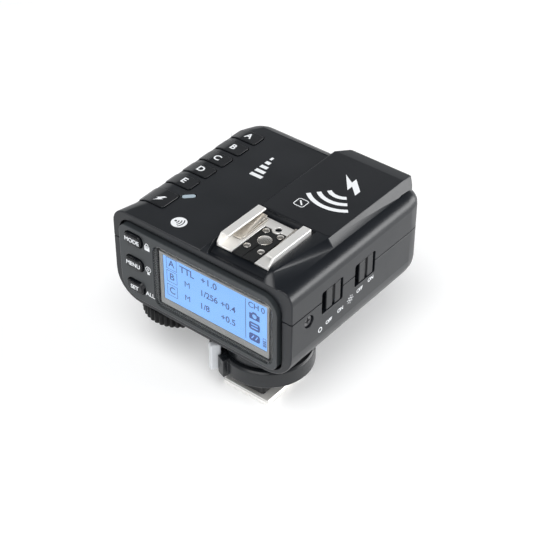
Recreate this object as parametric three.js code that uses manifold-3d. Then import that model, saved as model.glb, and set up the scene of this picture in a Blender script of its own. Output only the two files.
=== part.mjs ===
// Wireless flash trigger: a hot-shoe radio transmitter with a pass-through shoe, a backlit
// display, group keys, a select dial and a quick-lock foot.
// Units are millimetres. +X is to the right when facing the display, +Y runs from the display
// to the front of the camera, +Z is up. The origin is the centre of the foot's bottom face.

import * as THREE from 'three';
import { mergeVertices } from 'three/addons/utils/BufferGeometryUtils.js';
import Module from 'manifold-3d';

const wasm = await Module();
wasm.setup();

// ---------------------------------------------------------------- driving dimensions

// Housing
const BODY_WIDTH = 72;
const BODY_DEPTH = 69.5;
const BODY_HEIGHT = 34.6;            // bottom face to the low part of the top face
const BODY_BOTTOM = 20.2;            // height of the bottom face over the foot's bottom
const BODY_LEFT = -50;               // the housing sits off centre over its foot
const BODY_REAR = -14.5;
const WALL = 1.9;
const LOWER_CORNER_RADIUS = 10.2;
const SHOULDER_RADIUS = 4.2;         // right upper edge
const KEY_EDGE_RADIUS_REAR = 5.4;    // left upper edge, at the display end
const KEY_EDGE_RADIUS_MID = 8.4;     // left upper edge, under the keys
const KEY_EDGE_RADIUS_FRONT = 6.8;
const KEY_EDGE_BLEND = 8;            // length over which the rear radius opens up
const FRONT_EDGE_RADIUS = 4.8;
const LEFT_FRONT_CORNER = 11;        // plan radii of the front corners
const RIGHT_FRONT_CORNER = 7;
const RIM_EDGE_RADIUS = 0.45;

// Seam between the two shells: it falls slightly towards the front
const SEAM_HEIGHT_REAR = 43.5;
const SEAM_DROP = 1.3;
const SEAM_GAP = 0.3;

// Raised deck that carries the shoe
const DECK_HEIGHT = 58;
const DECK_LEFT_TOP = -11;
const DECK_LEFT_FOOT = -13.5;
const DECK_RIGHT_FOOT = [15.4, 17.4, 17.8];  // foot of the right facet: rear, recess end, front
const DECK_RIGHT_TOP = [12.0, 15.6, 15.9];   // top edge of the right facet at the same places
const DECK_REAR_SLOPE = 3.3;         // length of the sloping cheeks beside the shoe
const DECK_FRONT_FALL = 0.3;         // the deck's last stretch falls this much
const DECK_FRONT_STRIP = 4.8;
const DECK_FRONT_EDGE = 0.8;         // rounding of the deck's front edge
const DECK_SKIRT = 0.9;              // the facets run on this far below the top face
const DECK_NOSE_RADIUS = 5;          // right front corner of the deck, in plan
const DECK_NOSE_LEFT = -7.3;         // left end of the deck's front edge
const DECK_NOSE_SLOPE = 0.75;        // left front corner: mm across per mm back

// Fits
const GAP = 0.3;                     // between fixed pieces that touch
const KEY_GAP = 0.3;                 // all round a key in its opening
const RUN_GAP = 0.35;                // all round a turning or sliding piece

// Display panel, fitted proud of the rim
const PANEL_LEFT = -46.2;
const PANEL_RIGHT = 17.4;
const PANEL_BOTTOM = 23.3;
const PANEL_TOP = 51.3;
const PANEL_PROUD = 1.5;
const PANEL_GROOVE = 0.8;
const PANEL_THICK = 2.1;
const PANEL_SIDE_WALL = 1;
const PANEL_FLANGE = 1.8;
const PANEL_CORNER = 3.4;
const PANEL_CORNER_RIGHT_TOP = 6;
const PANEL_CORNER_LEFT_BOTTOM = 7;
const RIM_WALL = 1.8;

// Display window and module
const WINDOW_LEFT = -31.8;
const WINDOW_RIGHT = 15.5;
const WINDOW_BOTTOM = 25.2;
const WINDOW_TOP = 48.8;
const WINDOW_CORNER = 2.6;
const WINDOW_THICK = 0.8;
const WINDOW_LEDGE = 1;
const DISPLAY_LEFT = -28.5;
const DISPLAY_RIGHT = 12.9;
const DISPLAY_BOTTOM = 28.9;
const DISPLAY_TOP = 46.2;
const DISPLAY_THICK = 1.1;
const FRAME_BORDER_SIDE = 1.5;
const FRAME_BORDER_BELOW = 2.4;
const FRAME_BORDER_TOP = 0.9;
const FRAME_DEPTH = 3.2;

// Rear buttons (mode, menu, set)
const BUTTON_WIDTH = 6.9;
const BUTTON_HEIGHT = 4.2;
const BUTTON_CORNER = 1.5;
const BUTTON_X = -39.8;
const BUTTON_TOP_Z = 47.2;
const BUTTON_PITCH = 9.35;
const BUTTON_PROUD = 1.0;
const BUTTON_FLANGE = 0.6;

// Group keys and the test key along the left upper edge
const KEY_LEFT = -47;
const KEY_RIGHT = -36.6;
const KEY_WIDTH = 5.8;
const KEY_CORNER = 0.9;
const KEY_PITCH = 8.2;
const KEY_FIRST_Y = 9.8;             // centre of the rearmost key
const KEY_PROUD = 0.35;
const KEY_THICK = 3.0;
const KEY_TRAVEL = 0.5;
const TEST_WIDTH = 8.3;
const TEST_Y = -1.45;
const LAMP_LENGTH = 4.4;
const LAMP_WIDTH = 1.7;
const LAMP_CENTRE = [-34.6, 4.7];
const LAMP_ANGLE = 45;

// Pass-through hot shoe
const SHOE_FLOOR = 56.5;
const SHOE_SHEET = 0.8;              // thickness of the folded sheet
const SHOE_HALF_WIDTH = 10.3;
const SHOE_LIP_HALF_GAP = 7.2;
const SHOE_RAIL_HEIGHT = 3.2;
const SHOE_REAR = -10.4;
const SHOE_FRONT = 9.8;
const SHOE_RAIL_REAR = -8.3;
const SHOE_OPENING_HALF = 4.5;       // bay for the insulator
const SHOE_OPENING_FRONT = 5.9;
const RECESS_CLEARANCE = 0.5;        // between the rails and the recess walls
const RECESS_FRONT = 11.6;
const RECESS_STEP = 0.6;             // depth of the gutter between rim and shoe
const LEAF_THICK = 0.3;
const LEAF_END_SPACE = 1.1;          // from the leaf's fold to the front of the shoe's floor
const LEAF_LEFT_EDGE = 5.4;          // distance of the leaf spring from the shoe's centre plane
const LEAF_RIGHT_EDGE = 9.0;

// Contact layout, shared by the shoe on top and the foot below
const CENTRE_CONTACT_RADIUS = 2.35;
const SMALL_CONTACT_RADIUS = 1.15;
const SMALL_CONTACTS = [[-2.7, -5.1], [2.7, -5.1], [-2.8, 4.2], [2.8, 4.2]];
const LOCK_PIN_Y = 6.8;
const LOCK_HOLE_RADIUS = 1.1;

// Foot, neck and quick-lock ring
const FOOT_WIDTH = 18.6;
const FOOT_LENGTH = 20;
const FOOT_THICK = 2;
const FOOT_CHAMFER = 0.35;
const FOOT_INSERT_HALF_WIDTH = 5.6;
const FOOT_INSERT_REAR = -7.6;
const FOOT_INSERT_FRONT = 5.2;
const NECK_WIDTH = 12.4;
const NECK_LENGTH = 17;
const RING_Y = 1.5;                  // the lock ring's axis lies just ahead of the foot's centre
const RING_BOTTOM = 8.2;
const RING_TOP = 14.9;
const RING_RADIUS = 15.5;
const RING_CHAMFER = 0.7;
const CORE_RADIUS = 10;
const COLLAR_RADIUS = 13.8;
const SPIGOT_RADIUS = 5.5;
const SPIGOT_TOP = 24.5;
const LOCK_PIN_RADIUS = 0.95;
const LOCK_PIN_TOP = 11.5;
const LOCK_PIN_TRAVEL = 1.6;
const FOOT_PIN_CENTRE_RADIUS = 1.7;
const FOOT_PIN_RADIUS = 0.75;
const FOOT_PIN_PROUD = 0.4;
const FOOT_PIN_TOP = 4.6;
const LEVER_ANGLE = -121;            // direction of the lever at rest, degrees about the ring's axis
const LEVER_REACH = 3.6;
const LEVER_BOTTOM = 8.6;
const LEVER_TOP = 18.8;
const LEVER_SPAN = 13;               // degrees round the ring
const LUG_REACH = 1.7;               // lug beside the lever, moulded on the ring
const LUG_SPAN = 12;
const LUG_ANGLE = LEVER_ANGLE + 9;
const THUMB_REACH = 3.3;             // upright tab on the lever's other side
const THUMB_SPAN = 6;
const THUMB_ANGLE = LEVER_ANGLE - 10.5;
const THUMB_RISE = 4.5;

// Select dial, under the rear left corner
const DIAL_X = -33.5;
const DIAL_Y = -2.5;
const DIAL_RADIUS = 12.5;
const DIAL_BOTTOM = 15.4;
const DIAL_TEETH = 40;
const DIAL_TOOTH_DEPTH = 0.7;
const DIAL_SHAFT_RADIUS = 3;
const DIAL_DISH_RADIUS = 6.6;
const DIAL_DISH_DEPTH = 0.7;
const ENCODER_SIDE = 11.4;
const ENCODER_HEIGHT = 5;

// Slide switches on the right side
const SWITCH_Y = [0.3, 17.1];        // rear end of each slot
const SWITCH_SLOT_LENGTH = 10.5;
const SWITCH_BOTTOM = 38.3;
const SWITCH_TOP = 46.7;
const SWITCH_CORNER = 0.7;
const SWITCH_KNOB_LENGTH = 7.2;
const SWITCH_GROOVE_WIDTH = 1.2;     // across the middle of the knob
const SWITCH_GROOVE_DEPTH = 0.7;
const SWITCH_END_GAP = 0.9;          // between the knob at rest and the slot's front end
const SWITCH_BASE_DEPTH = 3.6;

// Screws
const SCREW_HEAD_RADIUS = 1.9;
const SCREW_HEAD_HEIGHT = 1.1;
const SCREW_SHANK_RADIUS = 1.0;
const SIDE_SCREW_LENGTH = 7;
const BASE_SCREW_LENGTH = 11;
const SCREW_SINK = 0.6;
const BOSS_RADIUS = 3.1;
const SIDE_SCREW = { y: -6.1, z: 39.8 };
const BASE_SCREWS = [[-37.6, 15.6], [-12.6, 15.9], [12.8, 15.4]];
const BASE_BOSS_TOP = 27.5;
const POST_RADIUS = 2.2;
const SIDE_BOSS_LENGTH = 6;

// Battery bay for two AA cells, and its sliding door in the bottom
const CELL_RADIUS = 7.1;
const CELL_LENGTH = 49.2;
const CELL_NIPPLE_RADIUS = 2.7;
const CELL_NIPPLE_LENGTH = 1.3;
const CELL_CENTRE_X = -15.5;
const CELL_Y = [28.4, 43.6];
const CELL_Z = 31.6;
const TRAY_WALL = 1.2;
const TRAY_END_SPACE = 3.4;          // room for a spring or a plate at each end of the cells
const TRAY_BOTTOM = 23.2;
const DOOR_HALF_WIDTH = 26;
const DOOR_REAR = 21;
const DOOR_THICK = 2.1;
const DOOR_TONGUE = 1.2;
const DOOR_TONGUE_THICK = 0.8;
const DOOR_RIBS = 5;
const CONTACT_THICK = 0.5;
const SPRING_RADIUS = 2.6;
const SPRING_WIRE = 0.3;
const SPRING_TURNS = 2.5;

// Front window of the focus-assist lamp, sockets on the left side
const ASSIST_WIDTH = 17;
const ASSIST_HEIGHT = 6;
const ASSIST_X = -26;
const ASSIST_Z = 47;
const ASSIST_THICK = 1.6;
const SOCKET_Z = 34.5;
const USB_Y = 0.5;
const USB_WIDTH = 9;
const USB_HEIGHT = 3.2;
const USB_DEPTH = 7;
const USB_SHEET = 0.35;
const USB_TONGUE_WIDTH = 6.6;
const JACK_Y = 11.5;
const JACK_RADIUS = 3;
const JACK_BORE = 1.3;
const JACK_DEPTH = 8;

// Circuit boards
const BOARD_THICK = 1.2;
const MAIN_BOARD_REAR = -9.2;
const KEY_BOARD_DROP = 1.6;          // between the keys and the board below them
const RADIO_BOARD_Z = 46.5;
const RADIO_BOARD_LEFT = -24;
const RADIO_BOARD_RIGHT = 9.6;
const RADIO_BOARD_REAR = 19;
const RADIO_BOARD_FRONT = 50;

// ---------------------------------------------------------------- derived places

const BODY_RIGHT = BODY_LEFT + BODY_WIDTH;
const BODY_FRONT = BODY_REAR + BODY_DEPTH;
const BODY_TOP = BODY_BOTTOM + BODY_HEIGHT;
const PANEL_FACE = BODY_REAR - PANEL_PROUD;
const PANEL_BACK = PANEL_FACE + PANEL_THICK;
const RIM_INNER = BODY_REAR + RIM_WALL;
const DISPLAY_FACE = PANEL_FACE + WINDOW_THICK + GAP;
const HOUSING_STATIONS = [0.14, 0.65]; // shares of the straight depth where a section is set
const CORNER_STATIONS = [0, 0.5];    // and of the stretch from the corners' start to the edge
const BEYOND = 5;                    // how far a cutting tool runs past the housing

const seamHeight = (y) => SEAM_HEIGHT_REAR - (SEAM_DROP * (y - BODY_REAR)) / BODY_DEPTH;

// ---------------------------------------------------------------- solid helpers

const X = new THREE.Vector3(1, 0, 0);
const Y = new THREE.Vector3(0, 1, 0);
const Z = new THREE.Vector3(0, 0, 1);

function solid(geometry) {
  const bare = geometry.clone();
  bare.deleteAttribute('normal');
  bare.deleteAttribute('uv');
  const merged = mergeVertices(bare, 1e-4);
  return new wasm.Manifold(new wasm.Mesh({
    numProp: 3,
    vertProperties: new Float32Array(merged.attributes.position.array),
    triVerts: new Uint32Array(merged.index.array),
  }));
}

function geometryOf(manifold) {
  const mesh = manifold.getMesh();
  const geometry = new THREE.BufferGeometry();
  geometry.setAttribute('position', new THREE.BufferAttribute(new Float32Array(mesh.vertProperties), 3));
  geometry.setIndex(new THREE.BufferAttribute(new Uint32Array(mesh.triVerts), 1));
  return geometry;
}

function join(first, ...others) {
  return others.reduce((sum, other) => sum.add(other), first);
}

function cut(first, ...others) {
  return others.reduce((rest, other) => rest.subtract(other), first);
}

function box(x0, x1, y0, y1, z0, z1) {
  const geometry = new THREE.BoxGeometry(x1 - x0, y1 - y0, z1 - z0);
  geometry.translate((x0 + x1) / 2, (y0 + y1) / 2, (z0 + z1) / 2);
  return solid(geometry);
}

// A round bar along axis 'x', 'y' or 'z', from start to end, through the point (x, y, z).
function bar(axis, radius, start, end, [x, y, z], sides = 32) {
  const geometry = new THREE.CylinderGeometry(radius, radius, end - start, sides);
  const middle = (start + end) / 2;
  if (axis === 'x') geometry.rotateZ(Math.PI / 2).translate(middle, y, z);
  if (axis === 'y') geometry.translate(x, middle, z);
  if (axis === 'z') geometry.rotateX(Math.PI / 2).translate(x, y, middle);
  return solid(geometry);
}

// Extrusions of a flat shape: along Z its axes are (x, y), along Y (x, z), along X (y, z).
function extrude(shape, depth, segments) {
  return new THREE.ExtrudeGeometry(shape, { depth, bevelEnabled: false, curveSegments: segments });
}

function alongZ(shape, z0, z1, segments = 4) {
  return solid(extrude(shape, z1 - z0, segments).translate(0, 0, z0));
}

function alongY(shape, y0, y1, segments = 4) {
  const geometry = extrude(shape, y1 - y0, segments);
  geometry.applyMatrix4(new THREE.Matrix4().makeBasis(X, Z, Y.clone().negate()));
  return solid(geometry.translate(0, y1, 0));
}

function alongX(shape, x0, x1, segments = 4) {
  const geometry = extrude(shape, x1 - x0, segments);
  geometry.applyMatrix4(new THREE.Matrix4().makeBasis(Y, Z, X));
  return solid(geometry.translate(x0, 0, 0));
}

function polygon(points) {
  return new THREE.Shape(points.map(([a, b]) => new THREE.Vector2(a, b)));
}

// Rectangle with its own radius at each corner: lower left, lower right, upper right, upper left.
function roundedRect(a0, a1, b0, b1, radii) {
  const [ll, lr, ur, ul] = Array.isArray(radii) ? radii : [radii, radii, radii, radii];
  const shape = new THREE.Shape();
  shape.moveTo(a0 + ll, b0);
  shape.lineTo(a1 - lr, b0);
  shape.absarc(a1 - lr, b0 + lr, lr, -Math.PI / 2, 0);
  shape.lineTo(a1, b1 - ur);
  shape.absarc(a1 - ur, b1 - ur, ur, 0, Math.PI / 2);
  shape.lineTo(a0 + ul, b1);
  shape.absarc(a0 + ul, b1 - ul, ul, Math.PI / 2, Math.PI);
  shape.lineTo(a0, b0 + ll);
  shape.absarc(a0 + ll, b0 + ll, ll, Math.PI, 1.5 * Math.PI);
  return shape;
}

// A solid of revolution about a vertical axis through (x, y); the profile is [radius, z] points.
function turned(profile, x, y, sides = 64) {
  const geometry = new THREE.LatheGeometry(profile.map(([r, z]) => new THREE.Vector2(r, z)), sides);
  geometry.rotateX(Math.PI / 2);
  return solid(geometry.translate(x, y, 0));
}

// Skins closed rings of points, one after another along +Y, into one solid.
function loft(rings) {
  const count = rings[0].length;
  const positions = rings.flat().flatMap((p) => [p.x, p.y, p.z]);
  const index = [];
  for (let i = 0; i + 1 < rings.length; i += 1) {
    for (let j = 0; j < count; j += 1) {
      const a = i * count + j;
      const b = i * count + ((j + 1) % count);
      index.push(a, a + count, b, b, a + count, b + count);
    }
  }
  const flat = (ring) => ring.map((p) => new THREE.Vector2(p.x, p.z));
  const last = (rings.length - 1) * count;
  for (const [a, b, c] of THREE.ShapeUtils.triangulateShape(flat(rings[0]), [])) index.push(a, b, c);
  for (const [a, b, c] of THREE.ShapeUtils.triangulateShape(flat(rings.at(-1)), [])) {
    index.push(last + c, last + b, last + a);
  }
  const geometry = new THREE.BufferGeometry();
  geometry.setAttribute('position', new THREE.BufferAttribute(new Float32Array(positions), 3));
  geometry.setIndex(index);
  return solid(geometry);
}

// ---------------------------------------------------------------- housing shape

// The left upper edge opens from its rear radius to the key radius, then narrows to the front.
function keyEdgeRadius(y) {
  const opened = BODY_REAR + KEY_EDGE_BLEND;
  if (y < opened) {
    return THREE.MathUtils.mapLinear(y, BODY_REAR, opened, KEY_EDGE_RADIUS_REAR, KEY_EDGE_RADIUS_MID);
  }
  return THREE.MathUtils.mapLinear(y, opened, BODY_FRONT, KEY_EDGE_RADIUS_MID, KEY_EDGE_RADIUS_FRONT);
}

// How far a side of the housing, itself drawn in by inset, curves in at depth y ahead of the
// start of its rounded front corner.
function cornerDraw(y, radius, inset) {
  const arc = radius - inset;
  const past = Math.max(y - (BODY_FRONT - radius), 0);
  return arc - Math.sqrt(Math.max(arc * arc - past * past, 0));
}

// One closed section of the housing at depth y: its top and bottom are drawn inwards by inset,
// its sides by sideInset and by the front corners' curve.
function section(y, inset, sideInset, arcSteps) {
  const left = BODY_LEFT + sideInset + cornerDraw(y, LEFT_FRONT_CORNER, sideInset);
  const right = BODY_RIGHT - sideInset - cornerDraw(y, RIGHT_FRONT_CORNER, sideInset);
  const bottom = BODY_BOTTOM + inset;
  const top = BODY_TOP - inset;
  const smallest = 0.4;
  const lower = Math.max(LOWER_CORNER_RADIUS - inset, smallest);
  const shoulder = Math.max(SHOULDER_RADIUS - inset, smallest);
  const key = Math.max(keyEdgeRadius(y) - inset, smallest);
  const corners = [
    [left + lower, bottom + lower, lower, 180],
    [right - lower, bottom + lower, lower, 270],
    [right - shoulder, top - shoulder, shoulder, 0],
    [left + key, top - key, key, 90],
  ];
  const ring = [];
  for (const [cx, cz, radius, start] of corners) {
    for (let step = 0; step <= arcSteps; step += 1) {
      const angle = THREE.MathUtils.degToRad(start + (90 * step) / arcSteps);
      ring.push(new THREE.Vector3(cx + radius * Math.cos(angle), y, cz + radius * Math.sin(angle)));
    }
  }
  return ring;
}

// The housing's outer form, or the same form drawn inwards: quarter-round front edge, fine
// quarter-round rear edge where it has a radius, plain stations between them, and stations
// through the front corners.
function housingForm(inset, rear, rearRadius, arcSteps = 7) {
  const front = BODY_FRONT - inset;
  const frontRadius = FRONT_EDGE_RADIUS - inset;
  const frontSteps = arcSteps - 1;
  const rearSteps = rearRadius > 0 ? 2 : 0;
  const rings = [];
  for (let step = rearSteps; step >= 0; step -= 1) {
    const angle = (Math.PI / 2) * (step / Math.max(rearSteps, 1));
    const drawnIn = inset + rearRadius * (1 - Math.cos(angle));
    rings.push(section(rear + rearRadius * (1 - Math.sin(angle)), drawnIn, drawnIn, arcSteps));
  }
  const cornerStart = BODY_FRONT - LEFT_FRONT_CORNER;
  for (const share of HOUSING_STATIONS) {
    rings.push(section(THREE.MathUtils.lerp(rear, cornerStart, share), inset, inset, arcSteps));
  }
  const edgeStart = front - frontRadius;
  for (const share of CORNER_STATIONS) {
    rings.push(section(THREE.MathUtils.lerp(cornerStart, edgeStart, share), inset, inset, arcSteps));
  }
  for (let step = 0; step <= frontSteps; step += 1) {
    const angle = (Math.PI / 2) * (step / frontSteps);
    const drawnIn = inset + frontRadius * (1 - Math.cos(angle));
    rings.push(section(front - frontRadius * (1 - Math.sin(angle)), drawnIn, inset, arcSteps));
  }
  return loft(rings);
}

// Plan of the deck: a wide rounded corner at the right front, a slanted one at the left front.
function deckPlan(inset, z0, z1) {
  const front = BODY_FRONT - inset;
  const rear = BODY_REAR + inset;
  const left = DECK_LEFT_FOOT - DECK_SKIRT;
  const noseLeft = DECK_NOSE_LEFT + inset;
  const right = DECK_RIGHT_FOOT[2] + DECK_SKIRT - inset;
  const radius = DECK_NOSE_RADIUS;
  const shape = new THREE.Shape();
  shape.moveTo(left, rear);
  shape.lineTo(right, rear);
  shape.lineTo(right, front - radius);
  shape.absarc(right - radius, front - radius, radius, 0, Math.PI / 2);
  shape.lineTo(noseLeft, front);
  shape.lineTo(left, front - (noseLeft - left) / DECK_NOSE_SLOPE);
  return alongZ(shape, z0, z1, 8);
}

// The raised deck: a trapezoid whose right facet drifts outwards, sloped at the rear into the
// cheeks beside the shoe and rounded off at the front.
function deckForm(inset) {
  const skirt = BODY_TOP - DECK_SKIRT;
  const foot = BODY_TOP - FRONT_EDGE_RADIUS;
  const top = DECK_HEIGHT - inset;
  const rise = DECK_HEIGHT - BODY_TOP;
  const leftRun = (DECK_LEFT_TOP - DECK_LEFT_FOOT) / rise;
  const ring = (y, rightFoot, rightTop) => {
    const left = (z) => DECK_LEFT_FOOT + inset + leftRun * (z - BODY_TOP);
    const right = (z) => rightFoot - inset + ((rightTop - rightFoot) * (z - BODY_TOP)) / rise;
    const corners = [
      [left(skirt), foot],
      [right(skirt), foot],
      [right(skirt), skirt],
      [right(top), top],
      [left(top), top],
      [left(skirt), skirt],
    ];
    return corners.map(([x, z]) => new THREE.Vector3(x, y, z));
  };
  const rear = BODY_REAR + inset;
  const front = BODY_FRONT - inset;
  const edgeTop = top - DECK_FRONT_FALL;
  const side = alongX(polygon([
    [rear, foot],
    [front, foot],
    [front, edgeTop - DECK_FRONT_EDGE],
    [front - 0.3 * DECK_FRONT_EDGE, edgeTop - 0.3 * DECK_FRONT_EDGE],
    [front - DECK_FRONT_EDGE, edgeTop],
    [front - DECK_FRONT_STRIP, top],
    [rear + DECK_REAR_SLOPE, top],
    [rear, BODY_TOP - inset - 0.2],
  ]), BODY_LEFT, BODY_RIGHT);
  const stations = [BODY_REAR, RECESS_FRONT, BODY_FRONT];
  return loft(stations.map((y, i) => ring(y, DECK_RIGHT_FOOT[i], DECK_RIGHT_TOP[i])))
    .intersect(side)
    .intersect(deckPlan(inset, foot, top + 1));
}

// Everything above or below the seam, with half the seam's gap taken off.
function aboveSeam() {
  const y0 = BODY_REAR - BEYOND;
  const y1 = BODY_FRONT + BEYOND;
  const lift = SEAM_GAP / 2;
  const roof = DECK_HEIGHT + BEYOND;
  const shape = polygon([[y0, seamHeight(y0) + lift], [y1, seamHeight(y1) + lift], [y1, roof], [y0, roof]]);
  return alongX(shape, BODY_LEFT - BEYOND, BODY_RIGHT + BEYOND);
}

function belowSeam() {
  const y0 = BODY_REAR - BEYOND;
  const y1 = BODY_FRONT + BEYOND;
  const drop = SEAM_GAP / 2;
  const shape = polygon([[y0, 0], [y1, 0], [y1, seamHeight(y1) - drop], [y0, seamHeight(y0) - drop]]);
  return alongX(shape, BODY_LEFT - BEYOND, BODY_RIGHT + BEYOND);
}

// ---------------------------------------------------------------- shared outlines

const keyCentres = [0, 1, 2, 3, 4].map((i) => KEY_FIRST_Y + i * KEY_PITCH);
const buttonCentres = [0, 1, 2].map((i) => BUTTON_TOP_Z - i * BUTTON_PITCH);

function keyColumn(centreY, width, grow, z0, z1) {
  const y0 = centreY - width / 2 - grow;
  const y1 = centreY + width / 2 + grow;
  const radius = KEY_CORNER + grow;
  return alongZ(roundedRect(KEY_LEFT - grow, KEY_RIGHT + grow, y0, y1, radius), z0, z1, 3);
}

function lampColumn(grow, z0, z1) {
  const half = LAMP_LENGTH / 2 + grow;
  const radius = LAMP_WIDTH / 2 + grow;
  const geometry = extrude(roundedRect(-half, half, -radius, radius, radius - 0.01), z1 - z0, 5);
  geometry.rotateZ(THREE.MathUtils.degToRad(LAMP_ANGLE));
  return solid(geometry.translate(LAMP_CENTRE[0], LAMP_CENTRE[1], z0));
}

function buttonOutline(centreZ, grow) {
  const halfWidth = BUTTON_WIDTH / 2 + grow;
  const halfHeight = BUTTON_HEIGHT / 2 + grow;
  const [x, z] = [BUTTON_X, centreZ];
  return roundedRect(x - halfWidth, x + halfWidth, z - halfHeight, z + halfHeight, BUTTON_CORNER + grow);
}

function panelOutline(grow) {
  const radii = [PANEL_CORNER_LEFT_BOTTOM, PANEL_CORNER, PANEL_CORNER_RIGHT_TOP, PANEL_CORNER];
  return roundedRect(
    PANEL_LEFT - grow,
    PANEL_RIGHT + grow,
    PANEL_BOTTOM - grow,
    PANEL_TOP + grow,
    radii.map((radius) => Math.max(radius + grow, 0.5)),
  );
}

function windowOutline(grow) {
  return roundedRect(
    WINDOW_LEFT - grow,
    WINDOW_RIGHT + grow,
    WINDOW_BOTTOM - grow,
    WINDOW_TOP + grow,
    WINDOW_CORNER + grow,
  );
}

function slotOutline(rear, grow) {
  const [y0, y1] = [rear - grow, rear + SWITCH_SLOT_LENGTH + grow];
  return roundedRect(y0, y1, SWITCH_BOTTOM - grow, SWITCH_TOP + grow, SWITCH_CORNER + grow);
}

// ---------------------------------------------------------------- housing shells

const outerForm = housingForm(0, BODY_REAR, RIM_EDGE_RADIUS);
const innerForm = housingForm(WALL, RIM_INNER, 0, 5);
const shell = join(
  cut(join(outerForm, deckForm(0)), innerForm),
).subtract(
  deckForm(WALL).intersect(
    box(BODY_LEFT, BODY_RIGHT, RECESS_FRONT + WALL, BODY_FRONT, BODY_TOP - WALL - 1, DECK_HEIGHT),
  ),
);
const panelOpening = alongY(panelOutline(PANEL_GROOVE), BODY_REAR - BEYOND, RIM_INNER + 1);
const switchSlots = SWITCH_Y.map((rear) => (
  alongX(slotOutline(rear, 0), BODY_RIGHT - WALL - 1, BODY_RIGHT + BEYOND, 3)
));

// The shoe's recess: a gutter behind the rim, a short ramp and a flat floor for the shoe.
function shoeRecess() {
  const floor = SHOE_FLOOR - SHOE_SHEET - GAP;
  const gutter = BODY_TOP - RECESS_STEP;
  const half = SHOE_HALF_WIDTH + RECESS_CLEARANCE;
  const rampTop = SHOE_REAR - 0.3;
  return alongX(polygon([
    [BODY_REAR - 1, BODY_TOP],
    [BODY_REAR + 1, BODY_TOP],
    [BODY_REAR + 1.2, gutter],
    [rampTop - 1.4, gutter],
    [rampTop, floor],
    [RECESS_FRONT, floor],
    [RECESS_FRONT, DECK_HEIGHT + BEYOND],
    [BODY_REAR - 1, DECK_HEIGHT + BEYOND],
  ]), -half, half);
}

function topCover() {
  const keyOpening = (y, width) => keyColumn(y, width, KEY_GAP, SEAM_HEIGHT_REAR, DECK_HEIGHT);
  const keyOpenings = keyCentres.map((y) => keyOpening(y, KEY_WIDTH));
  const lampOpening = lampColumn(GAP, SEAM_HEIGHT_REAR, DECK_HEIGHT);
  const assistOpening = alongY(assistOutline(GAP), BODY_FRONT - WALL - 1, BODY_FRONT + 1, 4);
  const posts = join(...BASE_SCREWS.map(coverPost)).intersect(join(outerForm, deckForm(0)));
  return cut(
    join(shell.intersect(aboveSeam()), posts),
    ...BASE_SCREWS.map(baseScrewHole),
    panelOpening,
    shoeRecess(),
    ...switchSlots,
    ...keyOpenings,
    keyOpening(TEST_Y, TEST_WIDTH),
    lampOpening,
    assistOpening,
  );
}

function assistOutline(grow) {
  const [halfWidth, halfHeight] = [ASSIST_WIDTH / 2 + grow, ASSIST_HEIGHT / 2 + grow];
  return roundedRect(
    ASSIST_X - halfWidth,
    ASSIST_X + halfWidth,
    ASSIST_Z - halfHeight,
    ASSIST_Z + halfHeight,
    1.6 + grow,
  );
}

// Opening for the battery door: a plain mouth in the bottom, wider inside for the door's tongues.
function doorOpening(grow) {
  const [x0, x1] = [CELL_CENTRE_X - DOOR_HALF_WIDTH - grow, CELL_CENTRE_X + DOOR_HALF_WIDTH + grow];
  const top = BODY_BOTTOM + DOOR_THICK + grow;
  const tongueFoot = BODY_BOTTOM + DOOR_THICK - DOOR_TONGUE_THICK - grow;
  const rear = DOOR_REAR - grow;
  return join(
    box(x0, x1, rear, BODY_FRONT + 1, BODY_BOTTOM - 1, top),
    box(x0 - DOOR_TONGUE, x1 + DOOR_TONGUE, rear, BODY_FRONT + 1, tongueFoot, top),
  );
}

// A base screw runs through a low boss in the case into a post that hangs from the cover.
function baseBoss([x, y]) {
  return bar('z', BOSS_RADIUS, BODY_BOTTOM + 1, BASE_BOSS_TOP, [x, y, 0], 20);
}

function coverPost([x, y]) {
  return bar('z', POST_RADIUS, BASE_BOSS_TOP + GAP, DECK_HEIGHT - 1, [x, y, 0], 16);
}

function baseScrewHole([x, y]) {
  const seat = BODY_BOTTOM + SCREW_SINK + SCREW_HEAD_HEIGHT + GAP;
  return join(
    bar('z', SCREW_HEAD_RADIUS + GAP, BODY_BOTTOM - 1, seat, [x, y, 0], 24),
    bar('z', SCREW_SHANK_RADIUS + GAP, seat - 0.1, seat + BASE_SCREW_LENGTH, [x, y, 0], 12),
  );
}

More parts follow.
